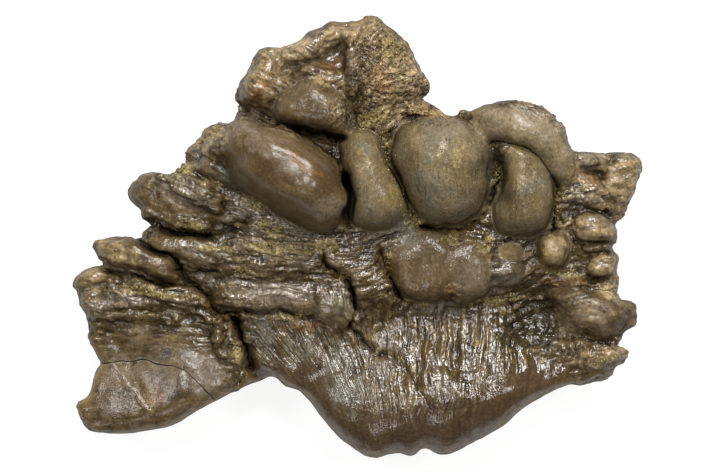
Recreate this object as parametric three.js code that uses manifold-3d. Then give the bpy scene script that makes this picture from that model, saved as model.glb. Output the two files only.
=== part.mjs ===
// Section of a dome-headed dinosaur's skull: a natural fossil in one piece, lying on its back.
// Bony knobs stand along the upper part, a smooth curved apron of bone hangs below them,
// and broken tongues and ledges run out to the left and right. The back is a broken face
// that rests on one small flat spot. X is the long way, +Y is the top of the skull section,
// +Z is its front, and the origin is under its middle, on the surface that it lies on.
import * as THREE from "three";
import { ImprovedNoise } from "three/addons/math/ImprovedNoise.js";
import { mergeVertices } from "three/addons/utils/BufferGeometryUtils.js";
import Module from "manifold-3d";

// Driving dimensions, in millimetres
const LONGEST = 190.4;
const WIDEST = 158;
const LOWEST = -5;
const HIGHEST = 70;
const CELL = 2;
const SURFACE_TRIANGLES = 9300;
const FRONT_REACH = 6.5;
const BACK_REACH = 9;
const OUTLINE_STEP = 1.5;
const ROUGH_FRONT = { height: 0.7, size: 5 };
const ROUGH_BACK = { height: 1.6, size: 11 };
const BACK_ROLL = 0.85;
const GROOVES_START_BELOW = 4;
const GROOVES_FULL_ABOVE = 6;
const NARROWEST_CRACK = 1.7;
const CRACK_STEEPNESS = 1.8;
const EDGE_MARGIN = 4;
const FLAT_CUT_DEPTH = 20;

// Where a surface crosses an edge of the sampling, it stays this share clear of the edge's ends
const CROSSING_MARGIN = 0.08;

// Merging: the least a face may keep of its direction, its least doubled area, the price of length
const LEAST_AGREEMENT = 0.25;
const LEAST_DOUBLED_AREA = 0.02;
const LENGTH_PRICE = 1e-4;
const FLATTEST_CORNER = 1e-3;

// The outline seen from the front, counterclockwise from the left side of the top block
const OUTLINE = [
  [-39.7, 48], [-39, 50.7], [-37.7, 52.3], [-36, 54.1], [-35.7, 56.5], [-34.3, 58.7], [-32.3, 61],
  [-30, 61.8], [-26, 62.7], [-23.7, 63.1], [-21.3, 64.7], [-19, 66], [-17, 67.7], [-14.3, 68.5],
  [-12, 68.5], [-10.7, 70.5], [-9.2, 71.5], [-8, 71.3], [-6.3, 70.5], [-4.3, 70.8], [-2.1, 70.8],
  [-0.8, 70.2], [0.8, 71], [2.7, 72.7], [4.5, 73.5], [6, 72.7], [7.3, 72.8], [8, 71.4], [9, 69.8],
  [11.3, 69.3], [12.7, 67.4], [14.2, 65.1], [16, 64.9], [17.3, 63], [17.7, 59.7], [19.5, 58.3],
  [20.5, 55.8], [22.3, 53.9], [24, 51.1], [24, 49], [21.9, 47.1], [20, 46.9], [21.2, 46],
  [24, 43.9], [27.2, 42.7], [29.3, 40.9], [31, 39.7], [32, 39.5], [33.8, 40.9], [34.7, 41.3],
  [37, 40.7], [38.7, 41.2], [43.5, 42.7], [45.3, 43.8], [47.7, 44.1], [54.3, 42.8], [61, 41.7],
  [63.7, 40.7], [66, 39], [68, 36.7], [69.3, 34], [70, 31.2], [70.6, 28.1], [72.7, 28.1],
  [75.3, 27.3], [82.3, 27], [84.3, 27.7], [91, 27.7], [93, 26.4], [94.7, 25.7], [95.2, 23.7],
  [94.9, 21.2], [93.5, 18.1], [91, 12.7], [90, 11.3], [89.7, 9.5], [88.5, 7.7], [86.6, 6],
  [86, 4.3], [86.6, 1.3], [86.3, -0.7], [84.8, -2.9], [85.2, -5.7], [86.2, -6], [87.2, -6.7],
  [87.2, -8], [86.3, -10.3], [86.2, -11.5], [86.8, -12.7], [87, -14.7], [86, -16.9], [85.3, -18.3],
  [85.6, -20.3], [87, -21.3], [88.2, -22.7], [91, -23.5], [91.8, -24.9], [91, -29], [90.2, -30.9],
  [87.3, -32.5], [87.8, -34], [86.2, -36], [87, -38], [88.8, -38.9], [88.6, -39.9], [85.6, -43],
  [85, -45], [83.8, -46.9], [81.8, -48], [79, -47.7], [74.3, -49.3], [71, -49], [68.2, -49.8],
  [62.2, -52.7], [54.2, -58.3], [48.3, -63.1], [42.3, -67], [36.3, -70], [29.7, -72.7], [27, -72.7],
  [25.2, -71.8], [23.3, -70.7], [21.3, -70.5], [19.8, -72.3], [17.3, -73.2], [15, -72.6],
  [13.5, -72.3], [11.3, -72.7], [9.3, -72.7], [7, -73.7], [3.9, -73.2], [0.7, -71.8], [-5.7, -67.3],
  [-12.9, -59.2], [-18.3, -52], [-20.7, -50.5], [-24, -49.9], [-25.8, -48.3], [-27.9, -47],
  [-29.7, -46.8], [-32.7, -48.3], [-38.5, -50], [-49.3, -55.9], [-57.2, -60.5], [-62.8, -63],
  [-77.3, -65.7], [-87, -65.2], [-90.3, -64.3], [-92, -62.3], [-93.3, -59.8], [-94, -57],
  [-93.7, -55], [-90.8, -54.2], [-89.2, -51.9], [-89, -49], [-87.5, -44], [-86.3, -41.9],
  [-87.3, -39.3], [-89, -36], [-90.6, -33.3], [-90.1, -32.5], [-88.7, -31.6], [-89.7, -30.3],
  [-90.1, -24.8], [-92, -23.3], [-92.4, -21.5], [-92.3, -18.7], [-94.5, -17.6], [-95, -16],
  [-94.3, -13.8], [-90.3, -11], [-88.5, -10.2], [-83.8, -9.9], [-84.7, -8.2], [-85.9, -4.7],
  [-87.5, -2.7], [-86.8, -1.8], [-84.3, -1.3], [-73.5, -0.5], [-71.2, 1.1], [-67.8, 3.1],
  [-68.9, 4.7], [-71.1, 6.3], [-71.1, 7], [-72, 9.1], [-73.7, 11.3], [-75.6, 13.1], [-76, 14.7],
  [-75.1, 16.2], [-73.8, 18], [-71.8, 19.8], [-70.4, 20.3], [-63, 19.8], [-61.1, 19.3],
  [-61.3, 21.8], [-59.3, 22.7], [-58.4, 24], [-56.7, 25.1], [-57.3, 26.4], [-56.7, 28.3],
  [-53.8, 31], [-52.3, 33.1], [-50.4, 36], [-49.1, 37], [-46.4, 36.8], [-43.8, 35], [-41.1, 36.3],
  [-39.1, 38.3], [-39.9, 41.1], [-39.8, 43.2], [-38.8, 43.3], [-36.7, 41.5], [-35.7, 42.2],
  [-35.8, 43.2], [-39.1, 46.2],
];

// Places on the front: x, y, height, and how wide the edge rolls over there
const FRONT = [
  [-2.3, 66, 39, 3], [6, 66, 36, 3], [-11, 64, 39, 3], [-19, 60, 41, 3], [-30.7, 56, 40, 4],
  [-36, 48.7, 38, 4], [-14, 58, 43, 3], [-24, 52, 43, 3], [-7, 50, 44, 3], [-4, 55.3, 43, 4],
  [7.7, 55.3, 38, 3], [17.7, 53, 31, 3], [6, 43.7, 42, 3], [17.7, 43.7, 38, 3], [27.7, 39, 38, 3],
  [-36, 40.3, 34, 3], [-19, 32, 34, 4], [-5.7, 32, 34, 4], [50, 38, 47, 4], [58, 37, 49, 5],
  [64, 31, 48, 5], [67.5, 23, 44, 4], [48, 29.5, 45, 4], [-50.7, 33.7, 29, 4], [-50.7, 23.7, 38, 4],
  [-47.3, 17, 41, 4], [-39, 10.3, 43, 4], [-69, 13.7, 38, 4], [-55.7, 10.3, 41, 4],
  [-65.7, -1.3, 38, 3], [-79, -6.3, 36, 3], [-52.3, -3, 42, 3], [-35.7, -1.3, 43, 4],
  [-22.3, 0.3, 44, 4], [-29, -8.7, 41, 4], [-12.3, -6.3, 41, 4], [-5.7, -1.3, 43, 4],
  [4.3, -1.3, 44, 4], [14.3, 0.3, 42, 4], [-19, -21.3, 39, 4], [-39, -21.3, 38, 4],
  [1, -21.3, 40, 4], [21, -11.3, 41, 4], [41, -1.3, 42, 4], [54.3, -8, 40, 4], [64.3, -4.7, 38, 4],
  [72.7, 18.7, 40, 4], [84.3, 20.3, 36, 3], [92, 22, 31, 3], [87.7, 12, 32, 3], [74.3, 8.7, 40, 3],
  [81, -3, 34, 3], [72.7, -11.3, 35, 3], [82.7, -18, 34, 3], [81, -28, 37, 3], [89.3, -27.3, 33, 3],
  [67.7, -22, 34, 3], [61, -28, 26, 3], [62.7, -36.3, 32, 3], [77.7, -37, 34, 3],
  [85, -39.7, 31, 3], [79.3, -44.7, 36, 4], [-32.3, -33, 36, 4], [-30.7, -42, 33, 4],
  [-19, -36.3, 38, 4], [-19, -46.3, 38, 4], [-4, -36.3, 38, 5], [-4, -51.3, 43, 7],
  [11, -28, 36, 6], [11, -41.3, 41, 8], [11, -58, 47, 17], [27.7, -24.7, 34, 6], [31, -38, 40, 8],
  [31, -53, 48, 15], [47.7, -24.7, 34, 6], [51, -38, 41, 6], [51, -49.7, 46, 11],
  [64.3, -44.7, 40, 6], [9.3, -66.3, 46, 17], [24.3, -63, 47, 16], [-2.3, -60, 45, 11],
  [-89, -14.7, 33, 3], [-75.7, -16.3, 35, 3], [-59, -18, 36, 3], [-85.7, -24.7, 34, 2.5],
  [-72.3, -24.7, 36, 3], [-52.3, -24.7, 36, 3], [-84, -36.3, 33, 2.5], [-69, -34.7, 36, 3],
  [-50.7, -36.3, 36, 4], [-40.7, -38, 33, 4], [-82.3, -48, 34, 2.5], [-67.3, -48, 37, 5],
  [-52.3, -48, 40, 7], [-40.7, -46.3, 36, 6], [-85.7, -58, 37, 5], [-72.3, -58, 40, 7],
  [-59, -54.7, 42, 8],
];

// Places on the back: x, y, height. What is below zero is cut off flat to rest on
const BACK = [
  [0, 0, -2], [-20, 5, -2], [20, 5, -2], [0, 20, -2], [20, 22, -1], [-18, 20, -1], [0, -18, -2],
  [25, -14, -1.5], [-22, -14, -1.5], [45, 5, 1], [42, -15, 3], [-40, -10, 4], [-60, -15, 11],
  [-85, -15, 17], [-85, -40, 19], [-80, -58, 21], [-60, -50, 19], [-45, -42, 16], [-30, -38, 12],
  [0, -40, 8], [20, -45, 11], [40, -40, 11], [10, -62, 23], [30, -60, 20], [60, -40, 15],
  [80, -42, 18], [85, -20, 16], [85, 5, 14], [88, 22, 16], [62, 0, 6], [60, 28, 11], [45, 38, 15],
  [20, 48, 13], [5, 65, 16], [-15, 60, 14], [-33, 50, 13], [-50, 28, 11], [-70, 14, 18],
  [-45, 10, 5], [-72, -5, 15], [10, 40, 6], [-15, 40, 6],
];

// Knobs, tongues, lobes and ledges: the height of the crown, of the domed body, the fall of
// the crown along x and y, how square the dome is, and how softly it joins what is under it
const LUMPS = [
  { name: "left knob", top: 60.5, body: 25, slope: [0.03, 0.1],
    squareness: 2.25, blend: 2.5, outline: [
      [-44, 29], [-42, 33], [-37.5, 36], [-32, 36.5], [-26, 35], [-19, 32], [-13, 29], [-8, 24.5],
      [-5, 19], [-4, 12], [-4, 5], [-11, 2], [-19, 3], [-26, 6.5], [-32, 10.5], [-37.5, 14],
      [-42.5, 19], [-44.5, 24],
    ] },
  { name: "middle knob", top: 58.5, body: 22, slope: [0.03, -0.08],
    squareness: 2.6, blend: 1.5, outline: [
      [-6.5, 31.5], [-6, 25.5], [-4.3, 20], [-3, 14.5], [-3, 8.5], [-1.8, 4.2], [2.8, 1.5],
      [7.5, 1.3], [12, 2.8], [16.2, 6], [17, 11], [15.2, 16], [12, 20.5], [10, 25.5], [8.3, 31.2],
      [5, 34.5], [0.2, 35.5], [-4, 34.5],
    ] },
  { name: "big knob", top: 65, body: 27, slope: [0, 0.03],
    squareness: 2.45, blend: 1.2, outline: [
      [12, 33], [16.5, 37], [25, 39.5], [34, 38], [40, 34.5], [43, 30], [44, 24.5], [43.5, 18],
      [41.5, 11], [37.5, 6.5], [30, 4.5], [22, 7], [17.5, 12.5], [14.5, 18.5], [12, 25.5],
    ] },
  { name: "right knob", top: 59.5, body: 24, slope: [0.02, 0],
    squareness: 2.5, blend: 2, outline: [
      [49.2, 30.2], [53, 31], [57.5, 29.4], [61.5, 25.6], [64.3, 20.3], [65.6, 14], [65.3, 8.4],
      [63.4, 3.5], [58.5, 0.2], [53, 0.2], [48, 1.8], [45, 5.5], [44.6, 10.2], [45.8, 15],
      [47.6, 19.5], [47.6, 25],
    ] },
  { name: "second row, middle", top: 46.8, body: 6, slope: [0, 0],
    squareness: 3, blend: 6, outline: [
      [12.5, -4.5], [15, -1], [18, 1.5], [22.5, 2.7], [26.5, 2], [29, -1], [30, -5], [31, -8.5],
      [31.5, -13], [31, -17], [27.5, -20], [22.5, -20.7], [17.5, -20], [13.7, -18], [12.3, -14],
      [11.8, -8.5],
    ] },
  { name: "second row, right", top: 46.3, body: 5.5, slope: [0, 0],
    squareness: 3, blend: 6, outline: [
      [30.5, -5], [33.5, -3], [37, -2], [40.3, -3], [42, -6.5], [43, -10.5], [43.7, -14.5],
      [43.7, -18.5], [41, -20.7], [36, -21], [32, -18.5], [30, -13], [30, -8.5],
    ] },
  { name: "second row, left", top: 45.5, body: 7, slope: [0, 0],
    squareness: 3.2, blend: 5, outline: [
      [-10.5, -6], [-7.5, -4.2], [-2.5, -4.8], [1.5, -5.5], [5, -8], [7.7, -12], [9.2, -16],
      [10, -20], [7.5, -22], [2.5, -22], [-1, -21], [-2.3, -17], [-4, -13], [-8, -10.5],
      [-10.3, -8.5],
    ] },
  { name: "blue grey lump", top: 43, body: 9, slope: [0, 0],
    squareness: 2.3, blend: 4, outline: [
      [44.5, -9], [48, -7], [53, -7.5], [56, -11], [55, -15.5], [51, -17], [46.5, -16.5], [44, -13],
    ] },
  { name: "tan pebble", top: 45, body: 7, slope: [0, 0],
    squareness: 2.4, blend: 1.6, outline: [
      [46.5, -5], [48.5, -2.8], [52, -2.8], [54, -4.5], [53.5, -7], [50, -7.7], [47, -7],
    ] },
  { name: "small brown knob", top: 45.5, body: 9, slope: [0, 0],
    squareness: 2.6, blend: 2, outline: [
      [63, 0.7], [67.5, 1], [70, -1], [71, -4.5], [70, -8.5], [67, -10.5], [63, -10.5],
      [60.5, -8.5], [59.7, -4.5], [60.7, -1],
    ] },
  { name: "right block", top: 45.5, body: 11, slope: [0, -0.3],
    squareness: 3.2, blend: 2, outline: [
      [72, 7], [77.5, 8], [82.5, 7.5], [85.3, 5.3], [85.7, 1.5], [84, -0.5], [79, -1], [74, -0.7],
      [71.5, 1.5], [70.7, 5],
    ] },
  { name: "right small block", top: 42, body: 9, slope: [0, -0.2],
    squareness: 2.8, blend: 1.6, outline: [
      [76.7, -8.5], [78, -5.8], [82.5, -5], [85.5, -5.3], [87.2, -7], [86.3, -10], [85, -12],
      [82, -13], [78, -12.3], [76.7, -10.5],
    ] },
  { name: "right ledge, upper", top: 40, body: 8, slope: [0, 0],
    squareness: 3, blend: 1.6, outline: [
      [71.5, -2], [78, -1.3], [84.5, -2], [85.3, -4], [84, -5.2], [78, -5.3], [72, -4.8],
    ] },
  { name: "right ledge, middle", top: 39, body: 8, slope: [0, 0],
    squareness: 3, blend: 1.6, outline: [
      [65, -14.5], [70, -13.2], [78, -13.4], [84.5, -14], [86, -15.5], [84, -17], [76, -17],
      [67, -16.7],
    ] },
  { name: "right lobe", top: 42.5, body: 11, slope: [0, 0.15],
    squareness: 2.7, blend: 5, outline: [
      [63, -19], [67.5, -16.5], [72.5, -16], [77.5, -17.5], [83.5, -18.5], [86.5, -21], [91, -23.3],
      [91.7, -25.5], [90.3, -29.5], [87.5, -32], [84, -33.5], [79, -34], [74, -33], [70, -30.5],
      [68, -26], [66, -22],
    ] },
  { name: "right lower ledge", top: 39, body: 10, slope: [0, 0.1],
    squareness: 2.8, blend: 3, outline: [
      [67, -36], [74, -34.7], [81, -35], [86, -36.8], [89, -39], [86.8, -42], [81, -43.3],
      [74, -42], [69, -39.5],
    ] },
  { name: "right rim", top: 33, body: 10, slope: [0, 0],
    squareness: 2.6, blend: 3, outline: [
      [60, -44], [68, -41.5], [76, -42], [83, -43], [85.3, -45.5], [83, -47.8], [78, -48],
      [71, -48.7], [64, -51], [57, -54.5], [52, -56], [54, -51],
    ] },
  { name: "end slab", top: 37, body: 12, slope: [-0.15, 0.1],
    squareness: 4, blend: 1, outline: [
      [82, 22], [84.5, 26], [89, 27.7], [93.3, 26.3], [95, 24], [93.7, 19], [91, 13], [86.5, 9.5],
      [82.5, 12], [81, 17],
    ] },
  { name: "shelf behind the knobs", top: 41, body: 12, slope: [-0.1, 0],
    squareness: 3, blend: 1.5, outline: [
      [69.5, 24], [71, 28], [77, 27.3], [82, 27], [83, 22], [82, 15], [79, 10.5], [73, 10],
      [70, 14],
    ] },
  { name: "upper tongue", top: 47.5, body: 12, slope: [-0.12, 0.05],
    squareness: 2.5, blend: 3, outline: [
      [-76, 14.7], [-73.5, 18.5], [-70, 20.3], [-64, 19.5], [-59, 19.4], [-54, 18.7], [-49, 16],
      [-45, 12.5], [-41.5, 8.5], [-40, 5], [-44, 2.7], [-51, 2.5], [-57.5, 3.5], [-64, 5],
      [-69, 6.7], [-72, 10], [-75, 12.7],
    ] },
  { name: "tongue behind the crack", top: 44, body: 7, slope: [0, 0],
    squareness: 3.2, blend: 5, outline: [
      [-69, -1], [-64, 1.3], [-57.5, 1], [-51, 0], [-45, -3.5], [-43, -7], [-45, -10], [-51, -10.3],
      [-56, -9], [-60, -6], [-64, -4.3], [-68.5, -2.6],
    ] },
  { name: "middle tongue", top: 41.8, body: 8, slope: [0.05, 0],
    squareness: 3.2, blend: 4, outline: [
      [-87.3, -2.3], [-84, -1.2], [-77.5, -0.6], [-73.5, -1], [-69, -3.7], [-64, -6.7],
      [-60.5, -9.5], [-58, -13], [-61, -14], [-67.5, -12.7], [-74, -10.8], [-81, -10], [-84, -8.5],
      [-85.5, -5],
    ] },
  { name: "left lip", top: 38, body: 9, slope: [0, 0],
    squareness: 2.4, blend: 1, outline: [
      [-95, -16], [-92.7, -12.3], [-88, -10.5], [-83.5, -10.8], [-81.5, -13], [-83.5, -15.7],
      [-90, -17.3], [-93.5, -18],
    ] },
  { name: "left block", top: 38, body: 10, slope: [0, 0],
    squareness: 2.8, blend: 3, outline: [
      [-92.3, -18.5], [-87.5, -17.3], [-83, -18.5], [-81.5, -23], [-82.5, -27.5], [-85.5, -31],
      [-89, -31], [-90, -26], [-92.3, -22],
    ] },
  { name: "long tongue", top: 42.8, body: 7, slope: [0, 0],
    squareness: 3.2, blend: 5, outline: [
      [-47.5, -21], [-45, -16.5], [-39, -14], [-29, -13], [-19, -13.5], [-11, -14], [-5, -15.5],
      [-2.3, -19.5], [-1, -24], [-2.7, -27], [-7.5, -28.5], [-13, -27], [-17.5, -24.7],
      [-26, -23.7], [-36, -24], [-43, -23.3],
    ] },
  { name: "long tongue, tip", top: 43.8, body: 5, slope: [0, 0],
    squareness: 2.6, blend: 4, outline: [
      [-14, -20], [-11, -16.5], [-6.5, -16.5], [-3, -20], [-2.2, -24.5], [-5, -27.3], [-9.5, -27],
      [-13, -24.3],
    ] },
  { name: "rough shelf", top: 45.5, body: 9, slope: [0, 0],
    squareness: 3.4, blend: 4, outline: [
      [-45, -1.5], [-36, 0.5], [-22.5, 0.7], [-12.5, -1], [-10.3, -6], [-8.5, -10.5], [-13, -12.3],
      [-22.5, -12.6], [-34, -12], [-43.5, -10],
    ] },
  { name: "top node", top: 52.5, body: 14, slope: [0.02, -0.03],
    squareness: 3, blend: 6, outline: [
      [-27.2, 39.5], [-26.5, 44.2], [-23.5, 48.2], [-19.2, 51.5], [-13.8, 52.8], [-8.5, 50.2],
      [-4.2, 46.2], [-1.5, 41.5], [-1.2, 37.5], [-4.2, 34.5], [-9.2, 34.5], [-14.2, 35.5],
      [-19.2, 36.8], [-23.8, 37.5],
    ] },
  { name: "block, left shoulder", top: 45, body: 14, slope: [0, 0],
    squareness: 2.7, blend: 4, outline: [
      [-39.5, 47], [-38.5, 51.5], [-35.5, 56], [-31, 61], [-26.5, 60.5], [-26, 55.5], [-28.5, 50.5],
      [-31, 46.5], [-36, 44],
    ] },
  { name: "block, rim", top: 45, body: 12, slope: [0, 0],
    squareness: 2.8, blend: 4, outline: [
      [-27, 58], [-26, 62], [-19, 65], [-13, 68], [-9, 70.5], [-4, 70], [-2, 66], [-6, 61.5],
      [-14, 58], [-22, 55.5],
    ] },
  { name: "spongy bone", top: 45, body: 16, slope: [0, 0.03],
    squareness: 3.4, blend: 3, outline: [
      [-3.5, 68], [4.5, 72.5], [8, 69.5], [12, 66.5], [16.5, 61.5], [20, 56], [23, 50.5],
      [20, 46.5], [14, 44], [6, 43], [0, 45], [-3, 50], [-4.5, 58],
    ] },
  { name: "shard", top: 40, body: 10, slope: [0, 0],
    squareness: 2.8, blend: 1.5, outline: [
      [10, 45], [18, 46.5], [25, 43], [31, 39.5], [26, 39], [18, 39.5], [11, 40.5],
    ] },
  { name: "rear lobe", top: 34, body: 10, slope: [0, 0],
    squareness: 2.4, blend: 0.8, outline: [
      [-52.5, 32], [-50.5, 36], [-47.5, 37], [-44, 35.3], [-43, 32], [-46, 29], [-51, 28.5],
    ] },
  { name: "rear lobe, lower", top: 31, body: 9, slope: [0, 0],
    squareness: 2.4, blend: 0.8, outline: [
      [-57.3, 26], [-56, 29.3], [-52.5, 32], [-50, 29], [-52, 24.5], [-56, 23.5],
    ] },
  { name: "left shoulder", top: 44, body: 12, slope: [0, 0],
    squareness: 2.6, blend: 1.5, outline: [
      [-52.5, 25.5], [-51, 30.5], [-46, 33], [-41, 32], [-39, 25.5], [-39.5, 17], [-43, 14],
      [-49, 16.3], [-54, 19.7], [-56, 22.5],
    ] },
];

// Ridges and curved knobs: x, y, height of the crest, radius
const RIDGES = [
  { name: "left knob, crest", blend: 7, path: [
      [-37, 30.5, 57, 7], [-27, 25, 62, 8], [-17, 18, 63, 8], [-10, 11, 60.5, 7],
    ] },
  { name: "upper right knob", blend: 3, path: [
      [42.5, 36.8, 47, 3.8], [46.5, 37.2, 52.5, 5.6], [52, 37, 56.5, 7.1], [58, 34.8, 57, 7.1],
      [62.6, 30.6, 55.5, 6.2], [65.7, 25.8, 52.5, 5], [67, 21.5, 48.5, 3.6], [66.8, 18, 45, 2.4],
    ] },
  { name: "right knob, tail", blend: 2, path: [
      [46.6, 26.4, 50, 1.8], [49.6, 27.6, 54, 2.6], [53.5, 26.4, 56, 3.6],
    ] },
  { name: "ridge over the upper tongue", blend: 2, path: [
      [-69, 19, 45, 1.3], [-60, 18.6, 48.5, 1.4], [-52, 15.5, 51, 1.5], [-45.5, 12, 50, 1.3],
    ] },
  { name: "second ridge of the upper tongue", blend: 2, path: [
      [-60, 16, 49, 1.1], [-52, 12.5, 50.6, 1.3], [-46.5, 8.5, 49.5, 1],
    ] },
  { name: "lower ridge of the upper tongue", blend: 2, path: [
      [-70, 8.2, 45, 1.2], [-60, 5.6, 47, 1.3], [-50, 4.6, 48, 1.2],
    ] },
  { name: "plate, ridge by the gap", blend: 2, path: [
      [-46.5, -28, 39, 1.3], [-46.5, -32, 39, 1.5], [-45, -38, 38, 1.5], [-43, -42, 36, 1.3],
    ] },
  { name: "plate, outer ridge by the gap", blend: 2, path: [
      [-43, -29.5, 36, 1.2], [-41, -34, 36, 1.3], [-39, -40, 34, 1.3], [-37.5, -43.5, 32, 1.2],
    ] },
  { name: "plate, cross ridge", blend: 2, path: [
      [-46, -37, 38, 1.3], [-41, -41.5, 36, 1.4], [-36.5, -43.5, 33, 1.3],
    ] },
  { name: "layer 1", blend: 1.8, path: [
      [-83, -17, 38.5, 1.1], [-72, -16.3, 40, 1.3], [-62, -16.5, 41, 1.3], [-53, -19.5, 41, 1],
    ] },
  { name: "layer 2", blend: 1.8, path: [
      [-84, -19.5, 38, 1], [-74, -19, 39.5, 1.3], [-64, -19.2, 40.5, 1.3], [-54, -21.6, 40.5, 1.1],
      [-48.5, -24.5, 39, 0.9],
    ] },
  { name: "layer 3", blend: 1.8, path: [
      [-84, -22.3, 37.5, 1.1], [-74, -21.7, 39, 1.2], [-66, -21.9, 39.5, 1.2],
      [-56, -23.8, 39.5, 1.1], [-49.5, -27, 38, 0.9],
    ] },
  { name: "layer 4", blend: 1.8, path: [
      [-85, -26, 37, 1.1], [-76, -26.3, 38, 1.2], [-68, -26.6, 38.5, 1.1], [-60, -27, 38, 0.9],
    ] },
  { name: "ledge 1", blend: 2, path: [
      [58, -33.5, 34, 1.2], [66, -34.5, 36, 1.4], [74, -36.5, 38.5, 1.3], [81, -38.5, 39, 1],
    ] },
  { name: "ledge 2", blend: 2, path: [
      [57, -37, 35.5, 1.2], [64, -38, 36.5, 1.4], [71, -40.5, 37, 1.3], [77, -42.5, 36, 1],
    ] },
  { name: "ledge 3", blend: 2, path: [
      [59, -41, 36, 1.2], [66, -41.6, 36, 1.3], [73, -42.6, 35, 1.2], [80, -43.5, 34, 1],
    ] },
  { name: "shelf edge 1", blend: 2, path: [
      [70, 25, 42, 1.2], [76, 24.6, 42.4, 1.3], [82, 23, 40, 1.1],
    ] },
  { name: "shelf edge 2", blend: 2, path: [
      [71, 18.5, 42, 1.2], [77, 16.8, 42.4, 1.3], [83, 14, 39.5, 1.1],
    ] },
  { name: "shelf edge 3", blend: 2, path: [
      [71, 12.5, 42, 1.3], [77, 12, 43, 1.5], [84, 10, 40, 1.3],
    ] },
  { name: "block ridge", blend: 4, path: [
      [-26, 50.5, 45, 1.6], [-17, 54.5, 47, 1.8], [-9, 54, 47, 1.6], [-3, 51, 46, 1.4],
    ] },
  { name: "block ridge, left", blend: 4, path: [
      [-31, 60.5, 42, 1.3], [-28.5, 55, 44, 1.4], [-29, 49, 44, 1.3], [-30, 45, 42, 1.1],
    ] },
  { name: "block ridge, upper", blend: 4, path: [
      [-23, 60, 44, 1.3], [-14, 63, 45, 1.5], [-9, 67.5, 43, 1.3],
    ] },
  { name: "spongy edge", blend: 3, path: [
      [-4, 67, 46, 1.5], [-2.5, 60, 48, 1.6], [-1, 54, 49, 1.5], [-2, 48, 48, 1.3],
    ] },
];

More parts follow.
